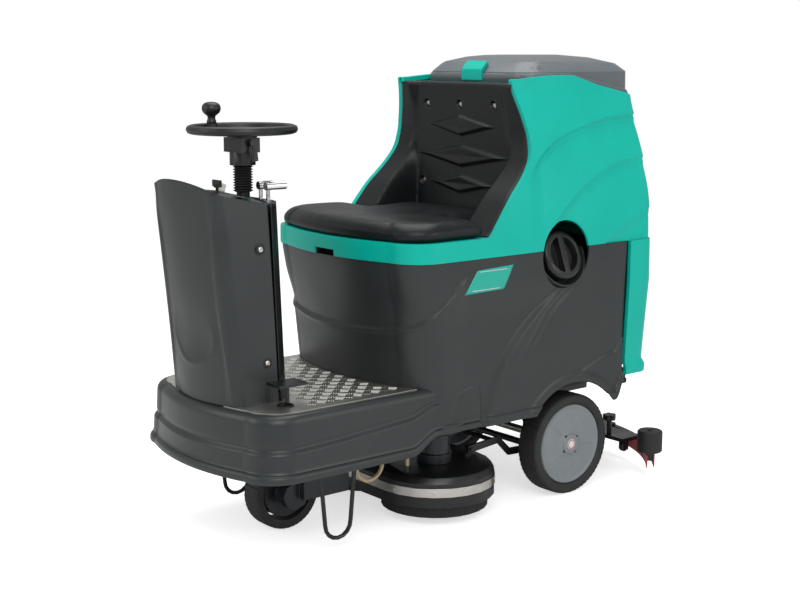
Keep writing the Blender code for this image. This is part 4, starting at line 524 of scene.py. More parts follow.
# %% Tank heights and creases
BODY_HALF = 0.342
TANK_FOOT = 0.7655
BAND_TOP = 0.820
TANK_TOP = 1.246
LEG_FOOT = 0.350
LEG_FRONT = 0.5655
LEG_STATIONS = (LEG_FOOT, 0.45, 0.64, TANK_FOOT)
LEG_HALF_AT = (0.330, 0.335, 0.344, 0.345)
LEG_REAR_AT = (0.668, 0.672, 0.682, 0.6785)
RIM_START = 0.40
RIM_SLOPE = 0.20
STATIONS = (TANK_FOOT, BAND_TOP, 0.915, 1.000, 1.100, TANK_TOP)
HALF_AT = (BODY_HALF + 0.003, BODY_HALF + 0.003, BODY_HALF - 0.004, BODY_HALF - 0.020, BODY_HALF - 0.044, 0.252)
REAR_AT = (0.678, 0.682, 0.685, 0.682, 0.678, 0.670)
STATION_WINDOW = np.linspace(-0.05, 0.05, 11)
SEAT_EDGE_Z = (0.780, 0.817, 0.874, 0.927, 0.967, 1.008, 1.038, 1.090, 1.155, 1.240, 1.30)
SEAT_EDGE_Y = (-0.060, -0.004, 0.040, 0.082, 0.125, 0.160, 0.176, 0.180, 0.169, 0.146, 0.130)
SWEEPS = (
    ((0.150, 0.182, 0.201, 0.240, 0.289, 0.360, 0.443, 0.528, 0.644, 0.70),
     (0.960, 1.000, 1.020, 1.050, 1.076, 1.099, 1.118, 1.132, 1.138, 1.14), 0.0130, 0.0055),
    ((0.225, 0.241, 0.275, 0.325, 0.386, 0.459, 0.544, 0.638, 0.70),
     (0.800, 0.827, 0.861, 0.902, 0.942, 0.974, 1.001, 1.010, 1.01), 0.0105, 0.0055),
    ((0.400, 0.446, 0.472, 0.525, 0.579, 0.629, 0.70),
     (0.720, 0.754, 0.774, 0.800, 0.826, 0.846, 0.87), 0.0070, 0.0045),
)
CREASE_REACH = 0.16
CREASE_BEAD = 0.45
REAR_CORNER = 0.048
RIM_CROWN = 0.009
BAND_FRONT = -0.326
BAND_BOW = 0.078
BAND_CORNER = 0.100
SEAT_LEDGE = ((0.004, 0.0005), (0.012, 0.0), (0.060, -0.0015))
EDGE_ROLL = ((0.050, 0.022), (0.030, 0.006), (0.012, 0.001), (0.004, 0.0))
RIM_ROLL = ((0.0035, 0.006), (0.0045, 0.016), (0.0030, 0.034), (-0.010, 0.040))


def sweep_relief(y, z):
    """How far the side stands in below each crease: its depth times a smooth step across the curve, less a bead."""
    inside = np.zeros_like(y)
    for places, heights, depth, half_width in SWEEPS:
        above = z - through(y, places, heights)
        begins = smooth(y, places[0], places[0] + 0.06)
        bead = np.exp(-((above + 1.6 * half_width) / (1.6 * half_width)) ** 2)
        fall = smooth(-above, -half_width, half_width) * np.exp(np.minimum(above, 0) / CREASE_REACH)
        inside += begins * depth * (fall - CREASE_BEAD * bead)
    return inside


# %% The tank's three surfaces
def tank_mesh():
    """The tank's skin: side and rear columns over the full height, and the front of the band below the seat.

    A row at height z starts at the seat's edge, y = f(z), runs straight to the rear corner, round a quarter circle
    and across. The other half is its mirror image. Behind RIM_START the rim falls by RIM_SLOPE of the distance.
    """
    height = np.concatenate([np.linspace(TANK_FOOT, BAND_TOP, 10)[:-1], np.linspace(BAND_TOP, TANK_TOP, 90)])
    near = np.clip(height[:, None] + STATION_WINDOW, TANK_FOOT, TANK_TOP)
    half = np.interp(near, STATIONS, HALF_AT).mean(1)[:, None]
    rear = np.interp(near, STATIONS, REAR_AT).mean(1)[:, None]
    front = through(np.maximum(height, BAND_TOP), SEAT_EDGE_Z, SEAT_EDGE_Y)[:, None]
    x, y, z = side_and_rear(height, half, rear, front, 110)
    share = (z - BAND_TOP).clip(0) / (TANK_TOP - BAND_TOP)
    lowered = RIM_SLOPE * (y - RIM_START).clip(0) * share
    crown = RIM_CROWN * np.sin(np.pi * np.clip((y - 0.17) / 0.33, 0, 1)) * share ** 3
    z = z - lowered + crown
    inset = sweep_relief(y, z) * smooth(x, 0.10, 0.24)
    across = np.clip((y - (rear - REAR_CORNER)) / REAR_CORNER, 0, 1)
    x = x - inset * (1 - across)
    y = y - inset * across
    side = np.stack([x, y, z], -1)
    edge = side[:, :1]
    narrow = 1 - 0.85 * smooth(edge[..., 2:], 1.195, 1.238)
    rolled = [edge + np.array([-inwards, ahead, 0.0]) * narrow for inwards, ahead in EDGE_ROLL]
    side = np.concatenate([*rolled, side], 1)
    rim = side[-1:]
    lip = []
    for rise, share_in in RIM_ROLL:
        moved = rim.copy()
        moved[..., :2] = rim[..., :2] * (1 - share_in)
        moved[..., 1] += share_in * 0.44
        moved[..., 2] += rise
        lip.append(moved)
    return both_halves(np.concatenate([side, *lip], 0)), height


def band_mesh(height):
    """The band's bowed front, from the seat's edge on one side round to the other, with a lip under the cushion."""
    low = height[height <= BAND_TOP + 1e-9]
    start = float(through(BAND_TOP, SEAT_EDGE_Z, SEAT_EDGE_Y))
    grown = np.interp(low, (TANK_FOOT, TANK_FOOT + 0.004, BAND_TOP - 0.004, BAND_TOP), (0.0, 0.001, 0.001, 0.0))
    near = np.clip(low[:, None] + STATION_WINDOW, TANK_FOOT, TANK_TOP)
    half = np.interp(near, STATIONS, HALF_AT).mean(1)
    run = half - BAND_CORNER
    middle = BAND_FRONT - grown
    share = np.linspace(0, 1, 20)[:, None]
    quarter = np.radians(np.linspace(0, 90, 18))[1:, None]
    corner_y = middle + BAND_BOW * (run / half) ** 2 + BAND_CORNER
    along = np.linspace(0, 1, 22)[1:, None]
    x = np.concatenate([run * share, run + BAND_CORNER * np.sin(quarter), half * np.ones_like(along)])
    y = np.concatenate([middle + BAND_BOW * (run * share / half) ** 2, corner_y - BAND_CORNER * np.cos(quarter),
                        corner_y + (start - corner_y) * along])
    points = np.stack([x, y, low * np.ones_like(x)], -1).transpose(1, 0, 2)
    edge, out = points[-1:], outward(points[-1:], closed=False)
    lips = [edge - out * inwards + np.array([0.0, 0.0, rise]) for inwards, rise in SEAT_LEDGE]
    points = np.concatenate([points, *lips])
    mirrored = points[:, ::-1] * np.array([-1.0, 1.0, 1.0])
    return np.concatenate([mirrored, points[:, 1:]], 1)


def leg_mesh():
    """The leg down the rear: a U of the tank's own outline, with a sunk panel and a foot that flares a little."""
    height = np.concatenate([np.linspace(LEG_FOOT, LEG_FOOT + 0.06, 14),
                             np.linspace(LEG_FOOT + 0.06, TANK_FOOT, 40)[1:]])
    flare = 0.010 * (1 - smooth(height, LEG_FOOT + 0.018, LEG_FOOT + 0.045))
    half = np.interp(height, LEG_STATIONS, LEG_HALF_AT) + flare * 0.8
    rear = np.interp(height, LEG_STATIONS, LEG_REAR_AT) + flare
    x, y, z = side_and_rear(height, half[:, None], rear[:, None], LEG_FRONT, 8)
    panel = smooth(z, 0.43, 0.46) * (1 - smooth(z, 0.70, 0.74)) * (1 - smooth(x, 0.20, 0.24))
    y = y - 0.006 * panel
    side = np.stack([x, y, z], -1)
    front_fold = side[:, :1] + np.array([-0.012, -0.0, 0.0])
    side = np.concatenate([front_fold, side], 1)
    foot = side[:1] * np.array([0.965, 1.0, 1.0]) + np.array([0.0, -0.010, 0.0])
    return both_halves(np.concatenate([foot, side], 0))


# %% Join the surfaces
skin, heights = tank_mesh()
tank_skin = joined("tank_skin", [grid("side", skin), grid("band", band_mesh(heights)), grid("leg", leg_mesh())])
print(f"tank skin of {len(tank_skin.polygons)} faces")


# %% Cutting with other pieces
def final_mesh(made):
    """A piece's mesh with its modifiers applied."""
    return bpy.data.meshes.new_from_object(made.evaluated_get(bpy.context.evaluated_depsgraph_get()))


def carve(made, *cutters):
    """Cuts closed meshes out of a piece, then drops the cutters."""
    helpers = []
    for mesh in cutters:
        helper = bpy.data.objects.new("cutter", tidy(mesh))
        bpy.context.scene.collection.objects.link(helper)
        cut = made.modifiers.new("cut", "BOOLEAN")
        cut.object = helper
        cut.solver = "EXACT"
        helpers.append(helper)
    mesh = final_mesh(made)
    made.modifiers.clear()
    made.data = mesh
    for helper in helpers:
        bpy.data.objects.remove(helper)
    made.data.shade_smooth()
    made.data.set_sharp_from_angle(angle=math.radians(35))
    return made


def block(low, high):
    """A closed box between two corners, as a grid of two rings with end caps."""
    ring = [(low[0], low[1]), (high[0], low[1]), (high[0], high[1]), (low[0], high[1])]
    points = np.array([[(x, y, z) for x, y in ring] for z in (low[2], high[2])])
    return grid("block", points, wrap_columns=True, capped=True)


FILLER = (0.294, 0.749)
RECESS_RADIUS = 0.094
FILLER_X = 0.336
FILLER_TILT = math.radians(20)
filler_axis = np.array((math.cos(FILLER_TILT), 0.0, math.sin(FILLER_TILT)))
filler_centre = np.array((FILLER_X, *FILLER))


def filler_cutter():
    """A plain drum along the filler's tilted axis."""
    profile = [(0, -0.075), (RECESS_RADIUS, -0.075), (RECESS_RADIUS, 0.10), (0, 0.10)]
    drum = turned(profile, filler_centre, filler_axis, 64)
    return grid("drum", drum, wrap_columns=True)


# %% Tank skin
tank = piece("tank_shell", tank_skin, teal_polyethylene, "tank", stands_for=("upper_body",), wall=0.006)
carve(tank, filler_cutter(), block((-0.045, -0.36, 0.755), (0.045, -0.30, 0.7835)))
print(f"tank shell of {len(tank.data.polygons)} faces")

# %% [markdown]
# ## The seat
#
# The cushion is a foam pad in its own skin: it crowns in the middle, rolls over at the front and runs back between
# the side bolsters. It starts as two rounded slabs that a voxel remesh melts into one, and a short cloth
# simulation with pressure then swells it like the foam it is.

# %% Cushion
PAD_ROWS = ((0.8210, 0.060), (0.8210, 0.010), (0.825, 0.005), (0.833, 0.002), (0.843, 0.002), (0.852, 0.006),
            (0.860, 0.014), (0.865, 0.026), (0.868, 0.046), (0.869, 0.080))
PAD_SIZES = ((0.338, -0.330, -0.008, BAND_BOW, 0.104), (0.197, -0.160, 0.166, 0.0, 0.03))
VOXEL = 0.005
CLOTH_FRAMES = 20
MOST_SWELL = 0.007


def pad(half, front, rear, bow, corner):
    """A rounded slab: the plan outline drawn in by the second number at each of the rows' heights."""
    height, inset = np.array(PAD_ROWS).T
    rings = plan(height, half - inset, front + inset, rear - inset, bow, corner - inset * 0.6, 0.030 - inset * 0.3)
    return tidy(grid("pad", rings, wrap_columns=True, capped=True))


def swelled(made):
    """The pad after a short cloth simulation under pressure, with no point moved further than the cap."""
    before = np.array([corner.co for corner in made.data.vertices])
    cloth = made.modifiers.new("foam", "CLOTH")
    cloth.settings.use_pressure = True
    cloth.settings.uniform_pressure_force = 4.0
    cloth.settings.quality = 4
    cloth.settings.effector_weights.gravity = 0.0
    cloth.point_cache.frame_start, cloth.point_cache.frame_end = 1, CLOTH_FRAMES
    for step in range(1, CLOTH_FRAMES + 1):
        bpy.context.scene.frame_set(step)
    after = np.array([corner.co for corner in final_mesh(made).vertices])
    made.modifiers.clear()
    bpy.context.scene.frame_set(1)
    moved = after - before
    length = np.linalg.norm(moved, axis=1, keepdims=True)
    return before + moved * np.minimum(1.0, MOST_SWELL / np.maximum(length, 1e-9))


# %% Shape the cushion
def seat_cushion():
    """The whole pad: remeshed, swelled, dished where a person sits, and smoothed."""
    whole = joined("seat_cushion_pad", [pad(*size) for size in PAD_SIZES])
    made = bpy.data.objects.new("seat_cushion_pad", whole)
    bpy.context.scene.collection.objects.link(made)
    remesh = made.modifiers.new("melt", "REMESH")
    remesh.mode = "VOXEL"
    remesh.voxel_size = VOXEL
    made.data = final_mesh(made)
    made.modifiers.clear()
    place = swelled(made)
    x, y, z = place.T
    top = smooth(z, 0.845, 0.862)
    dish = 0.0085 * np.exp(-(x / 0.17) ** 2 - ((y + 0.075) / 0.115) ** 2)
    place[:, 2] = np.maximum(z - dish * top, 0.8208)
    made.data.vertices.foreach_set("co", place.astype(np.float32).ravel())
    relax = made.modifiers.new("relax", "SMOOTH")
    relax.factor, relax.iterations = 0.5, 6
    made.data = final_mesh(made)
    made.modifiers.clear()
    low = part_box("seat_cushion")
    print(f"cushion of {len(made.data.polygons)} faces on a core {(low[1].x - low[0].x) * 1000:.0f} mm wide")
    mesh = made.data
    bpy.data.objects.remove(made)
    cushion = piece("seat_cushion_foam", mesh, seat_skin, "tank", stands_for=("seat_cushion",), crease=70)


seat_cushion()

# %% [markdown]
# The seat's back is a moulded shell. Its middle stands almost upright, with three flat ribs shaped like long
# diamonds, and a broad bolster sweeps forward along each side to hold the driver. Its front is one surface: for
# each x and height z, the depth y is the panel's or the bolster's, blended across the bolster's inner wall.

# %% Seat back
BACK_LOW = 0.8212
BACK_HIGH = 1.2385
BACK_MARGIN = 0.009
RIBS = ((1.110, 0.160, 0.034), (1.020, 0.215, 0.036), (0.936, 0.150, 0.030))
RIB_HEIGHT = 0.0105
BOLT_WELLS = ((-0.150, 1.174), (0.0, 1.174), (0.150, 1.174), (-0.180, 0.935), (0.180, 0.935))
WELL_RADIUS = 0.0125
WELL_DEPTH = 0.009


def back_half(z):
    """Half the seat back's width: it reaches to just inside the tank's side at every height."""
    return through(z, STATIONS, HALF_AT) - BACK_MARGIN


def back_depth(x, z):
    """Depth y of the seat back's front surface."""
    across = np.abs(x)
    panel = np.interp(z, (0.82, 0.90, 1.02, 1.10, 1.24), (0.176, 0.182, 0.188, 0.184, 0.168))
    bolster = through(z, SEAT_EDGE_Z, SEAT_EDGE_Y) - 0.003
    inner = np.interp(z, (0.86, 0.97, 1.03, 1.08, 1.24), (0.200, 0.200, 0.198, 0.188, 0.172))
    wide = np.interp(z, (0.86, 0.98, 1.04, 1.24), (0.024, 0.028, 0.040, 0.040))
    blend = smooth(across, inner, inner + wide)
    depth = panel + (bolster - panel) * blend
    depth = depth + 0.010 * smooth(across, back_half(z) - 0.018, back_half(z)) ** 2
    for middle, half_span, half_height in RIBS:
        away = across / half_span + np.abs(z - middle) / half_height
        depth = depth - RIB_HEIGHT * (1 - smooth(away, 0.66, 1.02)) + 0.0035 * (1 - smooth(away, 0.0, 0.75))
    for well_x, well_z in BOLT_WELLS:
        away = np.hypot(x - well_x, z - well_z)
        depth = depth + WELL_DEPTH * (1 - smooth(away, WELL_RADIUS - 0.004, WELL_RADIUS)) \
            - 0.0012 * np.exp(-((away - WELL_RADIUS - 0.002) / 0.002) ** 2)
    return depth


# %% Seat back shell
def seat_back():
    """The front surface, rolled over at the top and closed by a wall."""
    share = np.linspace(-1, 1, 281)
    z = np.concatenate([np.linspace(BACK_LOW, 1.0, 90)[:-1], np.linspace(1.0, BACK_HIGH - 0.012, 150)])
    across, up = np.meshgrid(share, z)
    across = across * back_half(up)
    depth = back_depth(across, up)
    front = np.stack([across, depth, up], -1)
    roll = []
    for angle in np.radians(np.linspace(12, 90, 8)):
        row = front[-1].copy()
        row[:, 1] += 0.012 * (1 - np.cos(angle))
        row[:, 2] += 0.012 * np.sin(angle)
        roll.append(row)
    last = roll[-1].copy()
    last[:, 1] = np.maximum(last[:, 1] + 0.004, 0.208)
    return np.concatenate([front, np.array(roll), last[None]])


back = piece("seat_back_shell", grid("seat_back", seat_back()), seat_skin, "tank", "seat_skin", ("seat_back",),
             wall=0.005, crease=50)
print(f"seat back of {len(back.data.polygons)} faces")

# %% [markdown]
# Hexagon bolts sit in the wells. One function makes such a bolt anywhere: a washer and a six-sided head with
# chamfered corners, as one turned surface whose radius follows a hexagon.

# %% Bolts
def hexagon(radius, height, angle):
    """The radius of a regular hexagon: r cos(30) / cos(a mod 60 - 30), mixed in where the profile is the head's."""
    turn_by = np.mod(angle, np.pi / 3) - np.pi / 6
    flat = math.cos(math.pi / 6) / np.cos(turn_by)
    return radius * np.where(height > 0.0, flat, 1.0)


def hex_bolt(name, place, axis, size, body):
    """A hexagon head of that size across its corners, on a washer."""
    radius, tall = size / 2, size * 0.35
    profile = [(0, -0.0006), (radius * 1.35, -0.0006), (radius * 1.35, -0.00001), (radius * 0.99, -0.00001),
               (radius, 0.00002), (radius, tall * 0.8), (radius * 0.88, tall), (0, tall)]
    return turning(name, profile, place, axis, bright_steel, body, steps=24, ripple=hexagon, crease=30)


def socket_screw(name, place, axis, size, body, cup_washer=True):
    """A button head with a round socket, seated in a black cup washer."""
    radius = size / 2
    head = [(0, 0.22 * radius), (0.42 * radius, 0.22 * radius), (0.44 * radius, 0.62 * radius),
            (0.62 * radius, 0.58 * radius), (0.88 * radius, 0.36 * radius), (radius, 0.0), (0, 0.0)]
    turning(name, head, place, axis, bright_steel, body, steps=24, crease=30)
    if cup_washer:
        cup = [(1.05 * radius, 0.0), (1.05 * radius, 0.30 * radius), (1.5 * radius, 0.26 * radius),
               (1.7 * radius, 0.0)]
        turning(f"{name}_cup", cup, place, axis, black_rubber, body, steps=24, ring=True, crease=40)


# %% Seat bolts
for index, (well_x, well_z) in enumerate(BOLT_WELLS):
    depth = float(back_depth(np.array([[well_x]]), np.array([[well_z]]))[0, 0])
    hex_bolt(f"seat_bolt_{index + 1}", (well_x, depth - 0.0005, well_z), (0, -1, 0), 0.013, "tank")
print(len(BOLT_WELLS), "seat bolts")

# %% [markdown]
# ## The base moulding
#
# The dark base is one hollow moulding: a foot platform whose skirt flares into a lip, and the pedestal that holds
# the batteries and the water. Its sides aren't flat: a fold runs round the pedestal and climbs away at each side,
# the panel over the wheel stands out along a slanting curve, and a flare goes round the wheel arch. Each of these
# is a smooth step in how far the surface stands out, written as a function of y and z.

# %% Base surfaces
PLATFORM_TOP = 0.412
LIP_LOW = 0.239
PLATFORM_HALF = 0.314
PLATFORM_FRONT = -0.772
PLATFORM_REAR = -0.015
PEDESTAL_FOOT = 0.2815
PEDESTAL_TOP = 0.765
WHEEL_Y = 0.375
WHEEL_RADIUS = 0.1545
ARCH_RADIUS = 0.2045
ARCH_Y = WHEEL_Y - 0.030
TAIL_RISE = 0.060
SKIRT = ((0.2390, 0.0120), (0.2386, 0.0165), (0.2400, 0.0185), (0.2440, 0.0192), (0.2540, 0.0185), (0.2590, 0.0165),
         (0.2620, 0.0125), (0.2650, 0.0080), (0.2690, 0.0062), (0.2750, 0.0055), (0.2900, 0.0045))
SKIRT_TOP = ((0.3880, 0.0000), (0.3960, -0.0012), (0.4030, -0.0040), (0.4085, -0.0085), (0.4112, -0.0135),
             (0.4120, -0.0190), (0.4120, -0.0300))
SKIRT_FOLD_Y = (-0.79, -0.60, -0.51, -0.428, -0.344, -0.257, -0.186, -0.132, -0.090, -0.050, 0.0)
SKIRT_FOLD_Z = (0.312, 0.316, 0.320, 0.326, 0.332, 0.338, 0.349, 0.362, 0.385, 0.420, 0.480)
SKIRT_FOLD = 0.0065
SKIRT_LIFT = 0.044
SIDE_Z = (0.27, 0.412, 0.56, 0.765)
SIDE_HALF = (0.333, 0.331, 0.3345, 0.3415)
FOLD_Y = (-0.330, -0.300, -0.268, -0.216, -0.172, -0.136, -0.100, -0.060)
FOLD_Z = (0.562, 0.564, 0.573, 0.600, 0.636, 0.667, 0.705, 0.740)
BULGE_Z = (0.270, 0.315, 0.398, 0.458, 0.517, 0.562, 0.594, 0.640, 0.700)
BULGE_Y = (-0.020, -0.003, 0.025, 0.062, 0.110, 0.158, 0.197, 0.260, 0.330)
SECOND_Z = (0.44, 0.508, 0.589, 0.641, 0.70)
SECOND_Y = (0.130, 0.179, 0.237, 0.307, 0.38)
FLANGE_Y = (0.240, 0.285, 0.347, 0.410, 0.485, 0.562)
FLANGE_Z = (0.300, 0.345, 0.373, 0.402, 0.426, 0.431)


# %% How far the sides stand out
def pedestal_stand(points):
    """How far the pedestal's surface stands out from its plain outline."""
    x, y, z = np.moveaxis(points, -1, 0)
    beside = smooth(np.abs(x), 0.22, 0.31)
    fold = through(y, FOLD_Y, FOLD_Z)
    fades = 1 - smooth(y, -0.13, -0.07)
    stand = 0.0055 * fades * (1 - smooth(z, fold - 0.004, fold + 0.010))
    stand += 0.0030 * fades * np.exp(-((z - fold + 0.006) / 0.006) ** 2)
    edge = through(z, BULGE_Z, BULGE_Y)
    below = 1 - smooth(z, 0.58, 0.70)
    stand -= 0.0130 * beside * below * (1 - smooth(y, edge - 0.022, edge + 0.022))
    second = through(z, SECOND_Z, SECOND_Y)
    crease = np.exp(-((y - second) / 0.020) ** 2)
    stand -= 0.0050 * beside * smooth(z, 0.44, 0.52) * (1 - smooth(z, 0.62, 0.70)) * crease
    lip_top = PEDESTAL_FOOT + 0.022
    stand += 0.0065 * (1 - smooth(z, lip_top, lip_top + 0.007)) * smooth(y, -0.24, -0.16)
    away = np.hypot(y - ARCH_Y, z - WHEEL_RADIUS)
    stand += 0.0045 * beside * (1 - smooth(away, ARCH_RADIUS + 0.016, ARCH_RADIUS + 0.034))
    flange = through(y, FLANGE_Y, FLANGE_Z)
    stand += 0.0040 * beside * smooth(y, 0.33, 0.40) * (1 - smooth(z, flange - 0.006, flange + 0.006))
    return stand


# %% Pedestal and platform
def pedestal():
    """The pedestal's rings, pushed out along their own outward direction, with the foot raised at the tail."""
    height = np.concatenate([[PEDESTAL_FOOT], np.linspace(PEDESTAL_FOOT + 0.001, PEDESTAL_TOP - 0.004, 150),
                             [PEDESTAL_TOP - 0.0015, PEDESTAL_TOP - 0.0002]])
    half = through(height, SIDE_Z, SIDE_HALF)
    lean = through(height, SIDE_Z, (0.0, 0.0, 0.3, 1.0))
    rings = plan(height, half, -0.275 - 0.0487 * lean, 0.565, 0.078, 0.100, 0.020, edge=26, corner=22, side=130)
    rings = rings + outward(rings) * (np.where(rings[..., 1] > 0.55, 0.0, 1.0) * pedestal_stand(rings))[..., None]
    share = (rings[..., 2] - PEDESTAL_FOOT) / (PEDESTAL_TOP - PEDESTAL_FOOT)
    rings[..., 2] += TAIL_RISE * smooth(rings[..., 1], 0.512, 0.560) * (1 - share)
    over = rings[-1:] + outward(rings[-1:]) * -0.004
    return np.concatenate([rings, over])


def platform():
    """The skirt's profile carried round the platform's outline, with its fold, then the deck inside it."""
    side = np.linspace(0.294, 0.385, 60)
    flank = np.stack([side, 0.0042 * (0.388 - side) / 0.094], 1)
    height, grow = np.concatenate([SKIRT, flank, SKIRT_TOP]).T
    rings = plan(height, PLATFORM_HALF + grow, PLATFORM_FRONT - grow, PLATFORM_REAR, 0.080, 0.100, 0.010, edge=30,
                 corner=24, side=90)
    fold = through(rings[..., 1], SKIRT_FOLD_Y, SKIRT_FOLD_Z)
    under = 1 - smooth(rings[..., 2], fold - 0.003, fold + 0.010)
    groove = np.exp(-((rings[..., 2] - fold - 0.013) / 0.006) ** 2)
    rings = rings + outward(rings) * (SKIRT_FOLD * under - 0.0020 * groove)[..., None] * (rings[..., 2:] > 0.262)
    lift = SKIRT_LIFT * smooth(rings[..., 1], -0.272, -0.180)
    rings[..., 2] += lift * (1 - (rings[..., 2] - LIP_LOW) / (PLATFORM_TOP - LIP_LOW))
    centre = np.array([0.0, -0.42, 0.0])
    inner = [centre * (1 - share) + rings[-1:] * np.array([share, share, 1.0]) for share in (0.8, 0.5, 0.15)]
    return np.concatenate([rings, *inner, pole(inner[-1])])


# %% Base shell
pedestal_mesh = tidy(grid("pedestal", pedestal(), wrap_columns=True))
base = piece("base_shell", pedestal_mesh, grey_polyethylene, "chassis", stands_for=("lower_body",), wall=0.006)
arch_profile = [(0, -0.5), (ARCH_RADIUS, -0.5), (ARCH_RADIUS, 0.5), (0, 0.5)]
arch = turned(arch_profile, (0, ARCH_Y, WHEEL_RADIUS), (1, 0, 0), 96)
carve(base, grid("arch", arch, wrap_columns=True), filler_cutter())

platform_top = piece("platform_shell", grid("platform", platform(), wrap_columns=True), grey_polyethylene,
                     "chassis", "grey_polyethylene", wall=0.006)
PEDAL_X = 0.215
PEDAL_Y = -0.602


def pedal_slots(half_width, front, rear, low, high):
    """Two closed boxes, one where each pedal goes through."""
    return [block((side * PEDAL_X - half_width, front, low), (side * PEDAL_X + half_width, rear, high))
            for side in (-1, 1)]


carve(platform_top, *pedal_slots(0.012, PEDAL_Y - 0.024, PEDAL_Y + 0.012, 0.38, 0.45))
print(f"base of {len(base.data.polygons) + len(platform_top.data.polygons)} faces")

# %% [markdown]
# ## The column cowl
#
# The cowl is a thin moulding that wraps the front of the steering column. Its face bows forward and leans out
# towards the top. A fold comes down from each upper corner, and inside the folds the face is pressed in near its
# foot, like a shallow thumb print.

# %% Cowl
COWL_LOW = 0.4123
COWL_HALF = 0.166
COWL_FRONT = -0.757
COWL_LEAN = 0.053
COWL_REAR = -0.603
COWL_TOP = 1.003
COWL_SLOPE = 0.300
COWL_EDGE_Y = (-0.83, -0.774, -0.736, -0.701, -0.671, -0.634, -0.58)
COWL_EDGE_Z = (0.988, 0.976, 0.966, 0.956, 0.949, 0.942, 0.938)
FOLD_LINE_Z = (0.41, 0.50, 0.60, 0.67, 0.714, 0.771, 0.827, 0.883, 0.933, 0.971, 1.01)
FOLD_LINE_X = (0.150, 0.142, 0.132, 0.126, 0.124, 0.125, 0.128, 0.134, 0.144, 0.152, 0.158)


def rear_shift(lean):
    """The column's rear edge leans forward as it rises."""
    return 0.010 - 0.022 * lean


def cowl_top(x, y):
    """Height of the cowl's top edge: a slope along the sides, and a hump across the front."""
    side = through(y, COWL_EDGE_Y, COWL_EDGE_Z)
    return side + 0.021 * (1 - (np.abs(x) / 0.155) ** 2.2) * smooth(-y, 0.70, 0.78)


# %% The cowl's surface
def cowl():
    """The cowl's face from one rear edge round to the other; its top edge follows cowl_top and turns inwards."""
    share = np.linspace(0, 1, 150)
    height = COWL_LOW + (COWL_TOP - COWL_LOW) * share
    lean = ((height - PLATFORM_TOP) / (COWL_TOP - PLATFORM_TOP)).clip(0, 1)
    half = COWL_HALF - 0.006 * lean + 0.002 * np.sin(np.pi * lean)
    front = COWL_FRONT - COWL_LEAN * lean ** 1.3
    rings = plan(height, half, front, COWL_REAR + rear_shift(lean), 0.038, 0.040, 0.002, edge=40, corner=22, side=40,
                 back=4)
    count = rings.shape[1]
    reach = 39 + 22 + 38  # columns from the middle of the front to a rear edge
    rings = np.concatenate([rings[:, count - reach:], rings[:, :reach + 1]], 1)
    x, y, z = np.moveaxis(rings, -1, 0)
    line = through(z, FOLD_LINE_Z, FOLD_LINE_X)
    on_face = smooth(-y, 0.66, 0.72)
    inside = 0.0035 * (1 - smooth(np.abs(x), line - 0.010, line + 0.004))
    thumb = 0.0070 * np.exp(-(x / 0.085) ** 4 - ((z - 0.60) / 0.075) ** 2) * smooth(z, 0.50, 0.56)
    from_rim = np.hypot(x / 0.1, (z - 0.60) / 0.085) - 1.0
    rim = 0.0020 * np.exp(-(from_rim / 0.10) ** 2) * (1 - smooth(z, 0.58, 0.66))
    push = np.minimum((rim - inside - thumb) * on_face, 0.0)
    rings = rings + outward(rings, closed=False) * push[..., None]
    top = cowl_top(rings[..., 0], rings[..., 1])
    rings[..., 2] = COWL_LOW + (top - COWL_LOW) * share[:, None]
    edge = []
    for down, inwards in ((-0.0006, 0.0012), (-0.0020, 0.0030), (-0.0040, 0.0040)):
        row = rings[-1:] - outward(rings[-1:], closed=False) * inwards
        row[..., 2] += down * 0.4
        edge.append(row)
    return np.concatenate([rings, *edge])


# %% Cowl and its screws
cowl_shell = piece("column_cowl", grid("cowl", cowl()), grey_polyethylene, "chassis", "grey_polyethylene",
                   ("column_cover",), wall=0.005, crease=50)
for number, (side, height, place_y) in enumerate(((1, 0.825, -0.645), (1, 0.523, -0.629), (-1, 0.825, -0.645),
                                                  (-1, 0.523, -0.629))):
    socket_screw(f"cowl_screw_{number + 1}", (side * 0.1655, place_y, height), (side, 0, 0), 0.017, "chassis")


print(f"cowl of {len(cowl_shell.data.polygons)} faces, {number + 1} screws")


# %% Back panel and console
BACK_PANEL_HALF = 0.1645
BACK_PANEL_BOW = 0.050


def back_bow(x):
    """How far the black panel bows to the rear: depth (1 - (x / half)^6)."""
    return BACK_PANEL_BOW * (1 - (np.abs(x) / BACK_PANEL_HALF) ** 6)


def column_back():
    """The black closing panel, which bows to the rear of the cowl's rear edge, from the platform to the console."""
    x = BACK_PANEL_HALF * np.sin(np.linspace(-np.pi / 2, np.pi / 2, 81))
    share = np.linspace(0, 1, 40)[:, None]
    y = COWL_REAR + rear_shift(share) + back_bow(x) + 0.0015
    z = COWL_LOW + 0.004 + (0.9385 - COWL_LOW) * share + 0 * x
    return np.stack([x + 0 * y, y, z], -1)


def console_top():
    """The frame's console, with its edges brought inside the cowl and the black panel."""
    mesh = merged_copy("control_panel")
    place = np.array([corner.co for corner in mesh.vertices])
    x, y, z = place.T
    limit = COWL_REAR + rear_shift(1.0) + back_bow(x) - 0.001
    outer = smooth(np.abs(x), 0.100, 0.110)
    place[:, 1] = np.where(outer > 0, np.minimum(y, limit), y)
    edge = np.maximum(smooth(np.abs(x), 0.10, 0.145), smooth(-y, 0.70, 0.75))
    place[:, 2] = z - edge * np.maximum(z - (cowl_top(x, y) - 0.003), 0) * (z > 0.92)
    mesh.vertices.foreach_set("co", place.astype(np.float32).ravel())
    return mesh


piece("column_back_panel", grid("column_back", column_back()), black_plastic, "chassis", "black_plastic",
      ("column_rear_panel",), wall=0.004, crease=50)
piece("console", console_top(), panel_plastic, "chassis", stands_for=("control_panel",), bevel=0.0012, outward=False)

# %% [markdown]
# The column's rubber boot is pleated, and the ball on the steering wheel turns in the hand.

